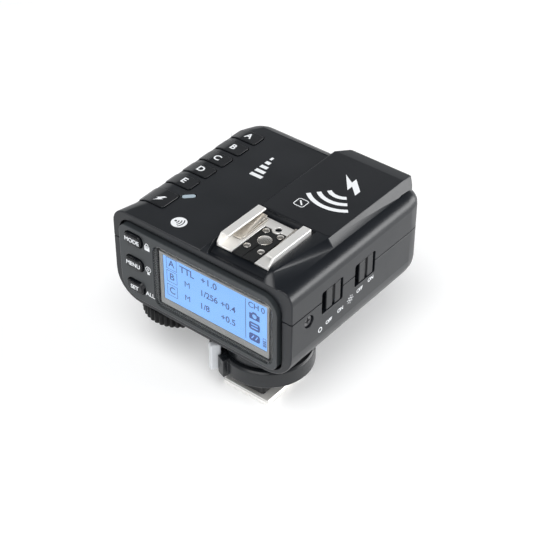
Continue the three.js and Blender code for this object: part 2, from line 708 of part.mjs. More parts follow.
function bottomCase() {
  const sideSeat = BODY_RIGHT - SCREW_SINK - SCREW_HEAD_HEIGHT - GAP;
  const at = [0, SIDE_SCREW.y, SIDE_SCREW.z];
  const sideBoss = bar('x', BOSS_RADIUS, sideSeat - SIDE_BOSS_LENGTH, BODY_RIGHT - 1, at, 20);
  const withBosses = join(
    shell.intersect(belowSeam()),
    join(...BASE_SCREWS.map(baseBoss), sideBoss).intersect(belowSeam()).intersect(outerForm),
  );
  const usb = roundedRect(
    USB_Y - USB_WIDTH / 2 - GAP,
    USB_Y + USB_WIDTH / 2 + GAP,
    SOCKET_Z - USB_HEIGHT / 2 - GAP,
    SOCKET_Z + USB_HEIGHT / 2 + GAP,
    USB_HEIGHT / 2 + GAP - 0.05,
  );
  return cut(
    withBosses,
    panelOpening,
    ...switchSlots,
    ...BASE_SCREWS.map(baseScrewHole),
    bar('x', SCREW_HEAD_RADIUS + GAP, sideSeat, BODY_RIGHT + 1, at, 24),
    bar('x', SCREW_SHANK_RADIUS + GAP, sideSeat - SIDE_SCREW_LENGTH - 1, sideSeat + 0.1, at, 12),
    bar('z', SPIGOT_RADIUS + GAP, BODY_BOTTOM - 1, BODY_BOTTOM + WALL + 1, [0, RING_Y, 0], 32),
    bar('z', DIAL_SHAFT_RADIUS + RUN_GAP, BODY_BOTTOM - 1, BODY_BOTTOM + WALL + 1, [DIAL_X, DIAL_Y, 0], 24),
    doorOpening(GAP),
    alongX(usb, BODY_LEFT - 1, BODY_LEFT + WALL + 1, 4),
    bar('x', JACK_RADIUS + GAP, BODY_LEFT - 1, BODY_LEFT + WALL + 1, [0, JACK_Y, SOCKET_Z], 24),
  );
}

// ---------------------------------------------------------------- display panel

function windowBay(grow) {
  return [
    WINDOW_LEFT + WINDOW_LEDGE - grow,
    WINDOW_RIGHT - WINDOW_LEDGE + grow,
    WINDOW_BOTTOM + WINDOW_LEDGE - grow,
    WINDOW_TOP - WINDOW_LEDGE + grow,
  ];
}

function rearPanel() {
  const flangeRear = RIM_INNER + GAP;
  const flangeFront = flangeRear + 1.2;
  const [bayLeft, bayRight, bayBottom, bayTop] = windowBay(0);
  const cavity = housingForm(WALL + GAP, RIM_INNER - 1, 0, 5);
  return cut(
    join(
      alongY(panelOutline(0), PANEL_FACE, flangeFront),
      alongY(panelOutline(PANEL_FLANGE), flangeRear, flangeFront).intersect(cavity),
    ),
    alongY(panelOutline(-PANEL_SIDE_WALL), PANEL_BACK, flangeFront + 1),
    alongY(windowOutline(GAP / 2), PANEL_FACE - 1, PANEL_FACE + WINDOW_THICK + 0.1),
    box(bayLeft, bayRight, PANEL_FACE - 1, PANEL_BACK + 1, bayBottom, bayTop),
    ...buttonCentres.map((z) => alongY(buttonOutline(z, KEY_GAP), PANEL_FACE - 1, PANEL_BACK + 1, 4)),
  );
}

function displayWindow() {
  return alongY(windowOutline(0), PANEL_FACE, PANEL_FACE + WINDOW_THICK);
}

function displayFrame() {
  const left = DISPLAY_LEFT - FRAME_BORDER_SIDE;
  const right = DISPLAY_RIGHT + FRAME_BORDER_TOP;
  const bottom = DISPLAY_BOTTOM - FRAME_BORDER_BELOW;
  const top = DISPLAY_TOP + FRAME_BORDER_TOP;
  const back = DISPLAY_FACE + FRAME_DEPTH;
  const cell = [DISPLAY_LEFT - 0.15, DISPLAY_RIGHT + 0.15, DISPLAY_BOTTOM - 0.15, DISPLAY_TOP + 0.15];
  const [x0, x1, z0, z1] = cell;
  const pocket = box(x0, x1, DISPLAY_FACE - 1, DISPLAY_FACE + DISPLAY_THICK + 0.5, z0, z1);
  return cut(box(left, right, DISPLAY_FACE, back, bottom, top), pocket);
}

function displayCell() {
  const face = DISPLAY_FACE + 0.15;
  return box(DISPLAY_LEFT, DISPLAY_RIGHT, face, face + DISPLAY_THICK, DISPLAY_BOTTOM, DISPLAY_TOP);
}

// A rear button: a pill-shaped cap through the panel, with a retaining flange behind it.
function rearButton(centreZ) {
  const flangeRear = PANEL_BACK + BUTTON_FLANGE;
  return join(
    alongY(buttonOutline(centreZ, -0.35), PANEL_FACE - BUTTON_PROUD, PANEL_FACE, 4),
    alongY(buttonOutline(centreZ, 0), PANEL_FACE - BUTTON_PROUD + 0.35, flangeRear + 0.5, 4),
    alongY(buttonOutline(centreZ, BUTTON_FLANGE), flangeRear, flangeRear + 0.9, 4),
  );
}

// ---------------------------------------------------------------- keys, lamp and windows

function groupKey(centreY, width) {
  const proudForm = housingForm(-KEY_PROUD, BODY_REAR, RIM_EDGE_RADIUS);
  const hollow = housingForm(KEY_THICK, BODY_REAR, 0, 5);
  return keyColumn(centreY, width, 0, SEAM_HEIGHT_REAR, DECK_HEIGHT).intersect(proudForm).subtract(hollow);
}

function statusLamp() {
  return lampColumn(0, BODY_TOP - WALL - 1.6, BODY_TOP - 0.1);
}

function assistWindow() {
  const face = BODY_FRONT - 0.3;
  return alongY(assistOutline(0), face - ASSIST_THICK, face, 4);
}

function usbSocket() {
  const outline = (grow) => roundedRect(
    USB_Y - USB_WIDTH / 2 - grow,
    USB_Y + USB_WIDTH / 2 + grow,
    SOCKET_Z - USB_HEIGHT / 2 - grow,
    SOCKET_Z + USB_HEIGHT / 2 + grow,
    USB_HEIGHT / 2 + grow - 0.05,
  );
  const mouth = BODY_LEFT + 0.2;
  const back = mouth + USB_DEPTH;
  const tongue = box(
    mouth + 1,
    back,
    USB_Y - USB_TONGUE_WIDTH / 2,
    USB_Y + USB_TONGUE_WIDTH / 2,
    SOCKET_Z - USB_SHEET,
    SOCKET_Z + USB_SHEET,
  );
  const shroud = cut(
    alongX(outline(0), mouth, back, 4),
    alongX(outline(-USB_SHEET), mouth - 1, back - 1, 4),
  );
  return join(shroud, tongue);
}

function syncJack() {
  const at = [0, JACK_Y, SOCKET_Z];
  const mouth = BODY_LEFT + 0.2;
  const half = JACK_RADIUS + 0.8;
  const behindWall = BODY_LEFT + WALL + 0.6;
  return cut(
    join(
      bar('x', JACK_RADIUS, mouth, BODY_LEFT + WALL + 1, at, 24),
      box(behindWall, mouth + JACK_DEPTH, JACK_Y - half, JACK_Y + half, SOCKET_Z - half, SOCKET_Z + half),
    ),
    bar('x', JACK_BORE, mouth - 1, mouth + JACK_DEPTH - 1, at, 16),
  );
}

// ---------------------------------------------------------------- switches

function slideKnob(rear) {
  const front = rear + SWITCH_SLOT_LENGTH - SWITCH_END_GAP;
  const back = front - SWITCH_KNOB_LENGTH;
  const middle = (front + back) / 2;
  const face = BODY_RIGHT - 0.15;
  const foot = BODY_RIGHT - WALL - RUN_GAP;
  const [low, high] = [SWITCH_BOTTOM + RUN_GAP, SWITCH_TOP - RUN_GAP];
  const half = SWITCH_GROOVE_WIDTH / 2;
  const groove = box(face - SWITCH_GROOVE_DEPTH, face + 1, middle - half, middle + half, low - 1, high + 1);
  return cut(box(foot, face, back, front, low, high), groove);
}

// Both slide switches sit side by side in one moulded block behind their slots.
function switchBlock() {
  const face = BODY_RIGHT - WALL - 0.35 - RUN_GAP;
  const [y0, y1] = [SWITCH_Y[0] - 0.6, SWITCH_Y[1] + SWITCH_SLOT_LENGTH + 0.6];
  return box(face - SWITCH_BASE_DEPTH, face, y0, y1, SWITCH_BOTTOM - 0.6, SWITCH_TOP + 0.3);
}

// ---------------------------------------------------------------- select dial

function selectDial() {
  const root = DIAL_RADIUS - DIAL_TOOTH_DEPTH;
  const rim = new THREE.Shape();
  for (let i = 0; i < DIAL_TEETH; i += 1) {
    const pitch = (2 * Math.PI) / DIAL_TEETH;
    for (const [share, radius] of [[0.05, root], [0.25, DIAL_RADIUS], [0.6, DIAL_RADIUS], [0.8, root]]) {
      const angle = (i + share) * pitch;
      const point = [radius * Math.cos(angle), radius * Math.sin(angle)];
      if (i === 0 && share === 0.05) rim.moveTo(...point);
      else rim.lineTo(...point);
    }
  }
  const top = BODY_BOTTOM - RUN_GAP;
  const wheel = alongZ(rim, DIAL_BOTTOM, top).translate(DIAL_X, DIAL_Y, 0);
  const dish = turned([
    [0, DIAL_BOTTOM - 1],
    [DIAL_DISH_RADIUS + 0.8, DIAL_BOTTOM - 1],
    [DIAL_DISH_RADIUS, DIAL_BOTTOM + DIAL_DISH_DEPTH],
    [0, DIAL_BOTTOM + DIAL_DISH_DEPTH],
  ], DIAL_X, DIAL_Y, 32);
  const shaft = bar('z', DIAL_SHAFT_RADIUS, top - 0.1, BODY_BOTTOM + WALL + 1, [DIAL_X, DIAL_Y, 0], 24);
  return cut(join(wheel, shaft), dish);
}

function dialEncoder() {
  const half = ENCODER_SIDE / 2;
  const bottom = BODY_BOTTOM + WALL + 1 + RUN_GAP;
  const rear = MAIN_BOARD_REAR + BOARD_THICK + GAP;
  return box(DIAL_X - half, DIAL_X + half, rear, rear + ENCODER_SIDE, bottom, bottom + ENCODER_HEIGHT);
}

// ---------------------------------------------------------------- pass-through shoe

// Folded sheet: floor with a bay for the insulator, upright sides and inward lips.
function shoeFrame() {
  const under = SHOE_FLOOR - SHOE_SHEET;
  const top = SHOE_FLOOR + SHOE_RAIL_HEIGHT;
  const bay = SHOE_OPENING_HALF;
  const floor = cut(
    box(-SHOE_HALF_WIDTH, SHOE_HALF_WIDTH, SHOE_REAR, SHOE_FRONT, under, SHOE_FLOOR),
    box(-bay, bay, SHOE_REAR - 1, SHOE_OPENING_FRONT, under - 1, SHOE_FLOOR + 1),
  );
  const sideProfile = polygon([
    [SHOE_REAR, under],
    [SHOE_FRONT, under],
    [SHOE_FRONT, top],
    [SHOE_RAIL_REAR, top],
    [SHOE_REAR, SHOE_FLOOR + 0.9],
  ]);
  const sides = [-1, 1].map((hand) => {
    const inner = hand * (SHOE_HALF_WIDTH - SHOE_SHEET);
    const outer = hand * SHOE_HALF_WIDTH;
    return alongX(sideProfile, Math.min(inner, outer), Math.max(inner, outer));
  });
  const lips = [-1, 1].map((hand) => {
    const ends = [hand * SHOE_LIP_HALF_GAP, hand * SHOE_HALF_WIDTH];
    return box(Math.min(...ends), Math.max(...ends), SHOE_RAIL_REAR, SHOE_FRONT, top - SHOE_SHEET, top);
  });
  const pinLug = bar('z', 2.1, under, SHOE_FLOOR, [0, LOCK_PIN_Y, 0], 24);
  const pinHole = bar('z', LOCK_HOLE_RADIUS, under - 1, SHOE_FLOOR + 1, [0, LOCK_PIN_Y, 0], 20);
  return cut(join(floor, ...sides, ...lips, pinLug), pinHole);
}

function shoeInsulator() {
  const under = SHOE_FLOOR - SHOE_SHEET;
  const top = SHOE_FLOOR - 0.05;
  const half = SHOE_OPENING_HALF - GAP;
  const holes = [
    [0, 0, CENTRE_CONTACT_RADIUS],
    ...SMALL_CONTACTS.map(([x, y]) => [x, y, SMALL_CONTACT_RADIUS]),
  ];
  return cut(
    box(-half, half, SHOE_REAR + 0.1, SHOE_OPENING_FRONT - GAP, under, top),
    bar('z', 2.1 + GAP, under - 1, top + 1, [0, LOCK_PIN_Y, 0], 24),
    box(-0.35, 0.35, SHOE_REAR - 1, -CENTRE_CONTACT_RADIUS - 0.4, top - 0.35, top + 1),
    ...holes.map(([x, y, radius]) => bar('z', radius + GAP / 2, under - 1, top + 1, [x, y, 0], 24)),
  );
}

function shoeContact(x, y, radius, sides) {
  const under = SHOE_FLOOR - SHOE_SHEET;
  return turned([
    [0, under],
    [radius, under],
    [radius, SHOE_FLOOR],
    [radius - 0.35, SHOE_FLOOR + 0.12],
    [0, SHOE_FLOOR + 0.16],
  ], x, y, sides);
}

// Leaf spring beside the insulator: a strip on the floor that folds back up towards the lip.
function shoeLeaf(hand) {
  const base = SHOE_FLOOR + GAP;
  const underLip = SHOE_FLOOR + SHOE_RAIL_HEIGHT - SHOE_SHEET - GAP;
  const t = LEAF_THICK;
  const profile = polygon([
    [SHOE_FRONT - LEAF_END_SPACE, base],
    [SHOE_FRONT - LEAF_END_SPACE, base + t],
    [-3.2, base + t],
    [SHOE_FRONT - 1.6, underLip - t],
    [SHOE_FRONT - 1.6, underLip],
    [-4.3, base + t],
    [-4.6, base],
  ]);
  const edges = [hand * LEAF_LEFT_EDGE, hand * LEAF_RIGHT_EDGE];
  return alongX(profile, Math.min(...edges), Math.max(...edges));
}

// ---------------------------------------------------------------- foot, neck and lock

function footPlate() {
  const [w, l, c] = [FOOT_WIDTH / 2, FOOT_LENGTH / 2, FOOT_CHAMFER];
  const outline = roundedRect(-w, w, -l, l, 0.6);
  const trimmed = roundedRect(-w + c, w - c, -l + c, l - c, 0.5);
  const plate = join(
    alongZ(outline, c, FOOT_THICK - c, 3),
    alongZ(trimmed, 0, FOOT_THICK, 3),
  );
  const bay = box(
    -FOOT_INSERT_HALF_WIDTH - GAP / 2,
    FOOT_INSERT_HALF_WIDTH + GAP / 2,
    FOOT_INSERT_REAR - GAP / 2,
    FOOT_INSERT_FRONT + GAP / 2,
    -1,
    FOOT_THICK + 1,
  );
  return cut(plate, bay, bar('z', LOCK_HOLE_RADIUS, -1, FOOT_THICK + 1, [0, LOCK_PIN_Y, 0], 16));
}

const footPins = [
  [0, 0, FOOT_PIN_CENTRE_RADIUS],
  ...SMALL_CONTACTS.map(([x, y]) => [x, y, FOOT_PIN_RADIUS]),
];

// Insulating block in the foot: it fills the plate's bay and carries the contact pins.
function footInsulator() {
  const half = FOOT_INSERT_HALF_WIDTH;
  return cut(
    box(-half, half, FOOT_INSERT_REAR, FOOT_INSERT_FRONT, 0.05, FOOT_THICK),
    ...footPins.map(([x, y, radius]) => bar('z', radius + RUN_GAP / 2, -1, FOOT_THICK + 1, [x, y, 0], 16)),
  );
}

function footPin(x, y, radius, sides) {
  const bottom = -FOOT_PIN_PROUD;
  return turned([
    [0, bottom],
    [radius * 0.55, bottom],
    [radius, bottom + 0.3],
    [radius, FOOT_PIN_TOP],
    [0, FOOT_PIN_TOP],
  ], x, y, sides);
}

function neck() {
  const bottom = FOOT_THICK + GAP;
  const [w, l] = [NECK_WIDTH / 2, NECK_LENGTH / 2];
  const stem = alongZ(roundedRect(-w, w, -l, l, 1.2), bottom, RING_BOTTOM, 3);
  const core = bar('z', CORE_RADIUS, RING_BOTTOM - 0.5, BODY_BOTTOM - GAP, [0, RING_Y, 0], 40);
  const spigot = bar('z', SPIGOT_RADIUS, BODY_BOTTOM - 1, SPIGOT_TOP, [0, RING_Y, 0], 32);
  const pinRoom = FOOT_PIN_TOP + 0.4 + RUN_GAP;
  return cut(
    join(stem, core, spigot),
    ...footPins.map(([x, y, radius]) => bar('z', radius + RUN_GAP / 2, bottom - 1, pinRoom, [x, y, 0], 16)),
    bar('z', LOCK_PIN_RADIUS + RUN_GAP / 2, bottom - 1, LOCK_PIN_TOP + RUN_GAP, [0, LOCK_PIN_Y, 0], 16),
  );
}

function neckCollar() {
  const bottom = RING_TOP + RUN_GAP;
  const top = BODY_BOTTOM - GAP;
  return turned([
    [CORE_RADIUS + GAP, bottom],
    [COLLAR_RADIUS, bottom],
    [COLLAR_RADIUS, top],
    [CORE_RADIUS + GAP, top],
    [CORE_RADIUS + GAP, bottom],
  ], 0, RING_Y, 48);
}

// A block that follows a circle about the ring's axis, centred on an angle in degrees.
function ringSector(r0, r1, centre, span, z0, z1) {
  const shape = new THREE.Shape();
  const from = THREE.MathUtils.degToRad(centre - span / 2);
  const to = THREE.MathUtils.degToRad(centre + span / 2);
  shape.absarc(0, 0, r1, from, to);
  shape.absarc(0, 0, r0, to, from, true);
  return alongZ(shape, z0, z1, 4).translate(0, RING_Y, 0);
}

function lockRing() {
  const bore = CORE_RADIUS + RUN_GAP;
  const c = RING_CHAMFER;
  const ring = turned([
    [bore, RING_BOTTOM],
    [RING_RADIUS - c, RING_BOTTOM],
    [RING_RADIUS, RING_BOTTOM + c],
    [RING_RADIUS, RING_TOP - c],
    [RING_RADIUS - c, RING_TOP],
    [bore, RING_TOP],
    [bore, RING_BOTTOM],
  ], 0, RING_Y, 64);
  const root = RING_RADIUS - 1;
  const lugRadius = RING_RADIUS + LUG_REACH;
  const thumbRadius = RING_RADIUS + THUMB_REACH;
  const thumbTop = RING_TOP + THUMB_RISE;
  const lug = ringSector(root, lugRadius, LUG_ANGLE, LUG_SPAN, RING_BOTTOM, RING_TOP + 0.2);
  const thumb = ringSector(root, thumbRadius, THUMB_ANGLE, THUMB_SPAN, RING_BOTTOM + 2, thumbTop);
  const headroom = turned([
    [0, RING_TOP],
    [RING_RADIUS + GAP, RING_TOP],
    [RING_RADIUS + GAP, BODY_BOTTOM],
    [0, BODY_BOTTOM],
  ], 0, RING_Y, 64);
  return join(ring, lug, cut(thumb, headroom));
}

function lockLever() {
  const r0 = RING_RADIUS + GAP;
  return ringSector(r0, r0 + LEVER_REACH, LEVER_ANGLE - 2.5, LEVER_SPAN - 5, LEVER_BOTTOM, LEVER_TOP);
}

function lockPin() {
  const r = LOCK_PIN_RADIUS;
  const bottom = 0.2;
  const top = LOCK_PIN_TOP - LOCK_PIN_TRAVEL;
  return turned([
    [0, bottom],
    [r - 0.3, bottom],
    [r, bottom + 0.3],
    [r, top],
    [0, top],
  ], 0, LOCK_PIN_Y, 16);
}

// ---------------------------------------------------------------- screws

// Pan-head screw with a cross slot, head down along -Z from z = 0, ready to be turned and placed.
function screw(length) {
  const head = bar('z', SCREW_HEAD_RADIUS, 0, SCREW_HEAD_HEIGHT, [0, 0, 0], 16);
  const shank = bar('z', SCREW_SHANK_RADIUS, SCREW_HEAD_HEIGHT - 0.1, length, [0, 0, 0], 10);
  const [long, wide, deep] = [1.15, 0.28, 0.6];
  return cut(
    join(head, shank),
    box(-long, long, -wide, wide, -1, deep),
    box(-wide, wide, -long, long, -1, deep),
  );
}

// ---------------------------------------------------------------- batteries and door

const trayEnds = [
  CELL_CENTRE_X - CELL_LENGTH / 2 - TRAY_END_SPACE,
  CELL_CENTRE_X + CELL_LENGTH / 2 + TRAY_END_SPACE,
];

function batteryTray() {
  const [x0, x1] = trayEnds;
  const y0 = CELL_Y[0] - CELL_RADIUS - 0.4;
  const y1 = CELL_Y[1] + CELL_RADIUS + 0.4;
  const top = CELL_Z + CELL_RADIUS + 0.4;
  const w = TRAY_WALL;
  const cavity = housingForm(WALL + GAP, RIM_INNER, 0, 5);
  return cut(
    box(x0 - w, x1 + w, y0 - w, y1 + w, TRAY_BOTTOM, top + w).intersect(cavity),
    box(x0, x1, y0, y1, TRAY_BOTTOM - 1, top),
  );
}

// AA cell with its nipple towards hand * X.
function cell(y, hand) {
  const geometry = new THREE.LatheGeometry([
    [0, -CELL_LENGTH / 2],
    [CELL_RADIUS - 0.4, -CELL_LENGTH / 2],
    [CELL_RADIUS, -CELL_LENGTH / 2 + 0.4],
    [CELL_RADIUS, CELL_LENGTH / 2 - 0.4],
    [CELL_RADIUS - 0.4, CELL_LENGTH / 2],
    [CELL_NIPPLE_RADIUS, CELL_LENGTH / 2],
    [CELL_NIPPLE_RADIUS, CELL_LENGTH / 2 + CELL_NIPPLE_LENGTH],
    [0, CELL_LENGTH / 2 + CELL_NIPPLE_LENGTH],
  ].map(([r, h]) => new THREE.Vector2(r, h)), 32);
  geometry.rotateZ(-hand * Math.PI / 2);
  return solid(geometry.translate(CELL_CENTRE_X, y, CELL_Z));
}

// Coil spring between a cell's flat end and the tray's end wall.
function cellSpring(y, hand) {
  const cellEnd = CELL_CENTRE_X + (hand * CELL_LENGTH) / 2;
  const start = cellEnd + hand * (GAP + SPRING_WIRE);
  const length = TRAY_END_SPACE - 2 * GAP - 2 * SPRING_WIRE;
  const points = [];
  const steps = Math.round(SPRING_TURNS * 8);
  for (let i = 0; i <= steps; i += 1) {
    const angle = (2 * Math.PI * i) / 8;
    const x = start + (hand * length * i) / steps;
    const across = SPRING_RADIUS * Math.cos(angle);
    const up = SPRING_RADIUS * Math.sin(angle);
    points.push(new THREE.Vector3(x, y + across, CELL_Z + up));
  }
  const wire = new THREE.Shape();
  wire.absarc(0, 0, SPRING_WIRE, 0, 2 * Math.PI);
  const extrudePath = new THREE.CatmullRomCurve3(points);
  const settings = { steps, extrudePath, curveSegments: 2, bevelEnabled: false };
  return solid(new THREE.ExtrudeGeometry(wire, settings));
}

// Flat contact plate for a cell's nipple.
function cellPlate(y, hand) {
  const wall = CELL_CENTRE_X + hand * (CELL_LENGTH / 2 + TRAY_END_SPACE - GAP);
  const face = wall - hand * CONTACT_THICK;
  const half = 4.5;
  return box(Math.min(wall, face), Math.max(wall, face), y - half, y + half, CELL_Z - half, CELL_Z + half);
}

// Sliding door: the part of the housing's own form that the opening takes out, with tongues.
function batteryDoor() {
  const [x0, x1] = [CELL_CENTRE_X - DOOR_HALF_WIDTH, CELL_CENTRE_X + DOOR_HALF_WIDTH];
  const top = BODY_BOTTOM + DOOR_THICK;
  const ribs = [];
  for (let i = 0; i < DOOR_RIBS; i += 1) {
    const y = DOOR_REAR + 5 + i * 1.6;
    ribs.push(box(CELL_CENTRE_X - 8, CELL_CENTRE_X + 8, y, y + 0.8, BODY_BOTTOM - 1, BODY_BOTTOM + 0.4));
  }
  return cut(
    join(
      box(x0, x1, DOOR_REAR, BODY_FRONT + 1, BODY_BOTTOM - 1, top),
      box(x0 - DOOR_TONGUE, x1 + DOOR_TONGUE, DOOR_REAR, BODY_FRONT + 1, top - DOOR_TONGUE_THICK, top),
    ).intersect(outerForm),
    ...ribs,
  );
}

// ---------------------------------------------------------------- boards

function mainBoard() {
  const rear = MAIN_BOARD_REAR;
  const inset = WALL + 2.5;
  return alongY(roundedRect(
    BODY_LEFT + inset,
    BODY_RIGHT - SCREW_SINK - SCREW_HEAD_HEIGHT - SIDE_BOSS_LENGTH - 3 * GAP,
    BODY_BOTTOM + inset,
    BODY_TOP - inset - 1,
    [LOWER_CORNER_RADIUS - 3, LOWER_CORNER_RADIUS - 3, 2, 4],
  ), rear, rear + BOARD_THICK, 3);
}

function keyBoard() {
  const top = BODY_TOP - KEY_THICK - KEY_TRAVEL - KEY_BOARD_DROP - 1.4;
  const y0 = MAIN_BOARD_REAR + BOARD_THICK + GAP;
  const y1 = keyCentres.at(-1) + KEY_WIDTH / 2 + 1;
  const hole = BASE_SCREWS[0];
  return cut(
    box(KEY_LEFT + 1.6, KEY_RIGHT + 4, y0, y1, top - BOARD_THICK, top),
    bar('z', POST_RADIUS + GAP, top - BOARD_THICK - 1, top + 1, [...hole, 0], 16),
  );
}

function radioBoard() {
  return box(
    RADIO_BOARD_LEFT,
    RADIO_BOARD_RIGHT,
    RADIO_BOARD_REAR,
    RADIO_BOARD_FRONT,
    RADIO_BOARD_Z,
    RADIO_BOARD_Z + BOARD_THICK,
  );
}

// ---------------------------------------------------------------- finishes

const finish = (color, roughness, metalness = 0) => ({ color, roughness, metalness });
const FINISHES = {
  housing: finish(0x2f3338, 0.5),
  panel: finish(0x4a4d52, 0.45),
  key: finish(0x26292e, 0.5),
  windowClear: finish(0xdfe6ea, 0.08),
  displayFrame: finish(0x9a948a, 0.5),
  display: finish(0x86b6ea, 0.2),
  lamp: finish(0x9fb4c6, 0.3),
  assist: finish(0x5a0d12, 0.15),
  steel: finish(0xd6d6d4, 0.25, 1),
  spring: finish(0xb9a98a, 0.3, 1),
  gold: finish(0xc9a55a, 0.3, 1),
  blackPlastic: finish(0x191b1e, 0.5),
  ring: finish(0x44474c, 0.45),
  lever: finish(0xd9dcdf, 0.35),
  screw: finish(0x2a2a2c, 0.4, 1),
  board: finish(0x1d5a3a, 0.6),
  cellJacket: finish(0x8e9296, 0.35),
};

const trigger = new THREE.Group();

function add(group, name, shape, finishName) {
  const mesh = new THREE.Mesh(geometryOf(shape), new THREE.MeshStandardMaterial(FINISHES[finishName]));
  mesh.name = name;
  group.add(mesh);
  return mesh;
}

function addGroup() {
  const group = new THREE.Group();
  trigger.add(group);
  return group;
}

// ---------------------------------------------------------------- assembly

const housing = addGroup();
add(housing, 'top_cover', topCover(), 'housing');
add(housing, 'bottom_case', bottomCase(), 'housing');
add(housing, 'rear_panel', rearPanel(), 'panel');
add(housing, 'display_window', displayWindow(), 'windowClear');
add(housing, 'display_frame', displayFrame(), 'displayFrame');
add(housing, 'display_cell', displayCell(), 'display');
add(housing, 'status_lamp', statusLamp(), 'lamp');
add(housing, 'assist_lamp_window', assistWindow(), 'assist');
add(housing, 'usb_socket', usbSocket(), 'steel');
add(housing, 'sync_jack', syncJack(), 'blackPlastic');
add(housing, 'main_board', mainBoard(), 'board');
add(housing, 'key_board', keyBoard(), 'board');
add(housing, 'radio_board', radioBoard(), 'board');

const keys = addGroup();
const keyLetters = ['e', 'd', 'c', 'b', 'a'];
keyCentres.forEach((y, i) => add(keys, `group_key_${keyLetters[i]}`, groupKey(y, KEY_WIDTH), 'key'));
add(keys, 'test_key', groupKey(TEST_Y, TEST_WIDTH), 'key');

const buttons = addGroup();
['mode_button', 'menu_button', 'set_button'].forEach((name, i) => {
  add(buttons, name, rearButton(buttonCentres[i]), 'key');
});

const switches = addGroup();
['power', 'lamp'].forEach((name, i) => {
  add(switches, `${name}_switch_knob`, slideKnob(SWITCH_Y[i]), 'key');
});
add(switches, 'switch_block', switchBlock(), 'blackPlastic');

const dial = addGroup();
add(dial, 'select_dial', selectDial(), 'blackPlastic');
add(dial, 'dial_encoder', dialEncoder(), 'steel');

const shoe = addGroup();
add(shoe, 'shoe_frame', shoeFrame(), 'steel');
add(shoe, 'shoe_insulator', shoeInsulator(), 'blackPlastic');
add(shoe, 'shoe_contact_centre', shoeContact(0, 0, CENTRE_CONTACT_RADIUS, 32), 'steel');
SMALL_CONTACTS.forEach(([x, y], i) => {
  add(shoe, `shoe_contact_${i + 1}`, shoeContact(x, y, SMALL_CONTACT_RADIUS, 20), 'steel');
});
add(shoe, 'shoe_leaf_left', shoeLeaf(-1), 'spring');
add(shoe, 'shoe_leaf_right', shoeLeaf(1), 'spring');

const foot = addGroup();
add(foot, 'foot_plate', footPlate(), 'steel');
add(foot, 'foot_insulator', footInsulator(), 'blackPlastic');
footPins.forEach(([x, y, radius], i) => {
  const name = i === 0 ? 'foot_pin_centre' : `foot_pin_${i}`;
  add(foot, name, footPin(x, y, radius, i === 0 ? 24 : 12), 'gold');
});
add(foot, 'neck', neck(), 'blackPlastic');
add(foot, 'neck_collar', neckCollar(), 'ring');
add(foot, 'lock_ring', lockRing(), 'ring');
add(foot, 'lock_lever', lockLever(), 'lever');
add(foot, 'lock_pin', lockPin(), 'steel');

const power = addGroup();
add(power, 'battery_tray', batteryTray(), 'blackPlastic');
add(power, 'battery_cell_rear', cell(CELL_Y[0], 1), 'cellJacket');
add(power, 'battery_cell_front', cell(CELL_Y[1], -1), 'cellJacket');
add(power, 'cell_spring_rear', cellSpring(CELL_Y[0], -1), 'steel');
add(power, 'cell_spring_front', cellSpring(CELL_Y[1], 1), 'steel');
add(power, 'cell_plate_rear', cellPlate(CELL_Y[0], 1), 'steel');
add(power, 'cell_plate_front', cellPlate(CELL_Y[1], -1), 'steel');
add(power, 'battery_door', batteryDoor(), 'housing');

const screws = addGroup();
const sideScrew = add(screws, 'side_screw', screw(SIDE_SCREW_LENGTH), 'screw');
sideScrew.rotation.y = -Math.PI / 2;
sideScrew.position.set(BODY_RIGHT - SCREW_SINK, SIDE_SCREW.y, SIDE_SCREW.z);
BASE_SCREWS.forEach(([x, y], i) => {
  const baseScrew = add(screws, `base_screw_${i + 1}`, screw(BASE_SCREW_LENGTH), 'screw');
  baseScrew.position.set(x, y, BODY_BOTTOM + SCREW_SINK);
});

export default trigger;
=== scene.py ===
from math import cos, pi, radians, sin

import bmesh
import bpy
import numpy as np
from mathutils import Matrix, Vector


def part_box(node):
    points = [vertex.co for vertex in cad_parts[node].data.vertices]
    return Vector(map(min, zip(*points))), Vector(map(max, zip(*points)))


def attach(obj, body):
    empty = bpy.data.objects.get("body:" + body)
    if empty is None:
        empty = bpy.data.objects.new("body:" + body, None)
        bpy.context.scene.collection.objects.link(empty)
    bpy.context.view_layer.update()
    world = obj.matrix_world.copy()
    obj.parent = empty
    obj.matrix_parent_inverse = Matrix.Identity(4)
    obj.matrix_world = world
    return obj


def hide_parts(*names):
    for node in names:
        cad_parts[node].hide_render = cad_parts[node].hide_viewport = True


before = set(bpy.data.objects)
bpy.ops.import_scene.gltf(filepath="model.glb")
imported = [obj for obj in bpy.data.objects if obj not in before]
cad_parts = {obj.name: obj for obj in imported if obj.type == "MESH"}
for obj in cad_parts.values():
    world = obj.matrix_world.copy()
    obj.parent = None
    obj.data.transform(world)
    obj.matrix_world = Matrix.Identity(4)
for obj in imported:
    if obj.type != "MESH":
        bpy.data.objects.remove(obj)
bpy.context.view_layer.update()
MM = 0.001


# ------------------------------------------------------------------ studio
# The trigger stands by its foot on a pale table, which is lit a little from within so that it
# stays white. Bright walls stand all round, with a large soft box overhead and a second one
# low behind its right side. A long lens looks down at
# its display corner.

def shader(name):
    """A new node material, with its tree and its Principled shader."""
    material = bpy.data.materials.new(name)
    material.use_nodes = True
    tree = material.node_tree
    return material, tree, tree.nodes["Principled BSDF"]


def aimed(obj, place, target):
    """Puts a camera or light at a place, looking at a target."""
    obj.location = place
    obj.rotation_euler = (Vector(target) - Vector(place)).to_track_quat("-Z", "Y").to_euler()
    bpy.context.scene.collection.objects.link(obj)
    return obj


LOOK_AT = Vector((0.39, 0.4, 46.27)) * MM
CAMERA_AZIMUTH = radians(38.84)
CAMERA_HEIGHT = radians(38.34)
CAMERA_DISTANCE = 459 * MM

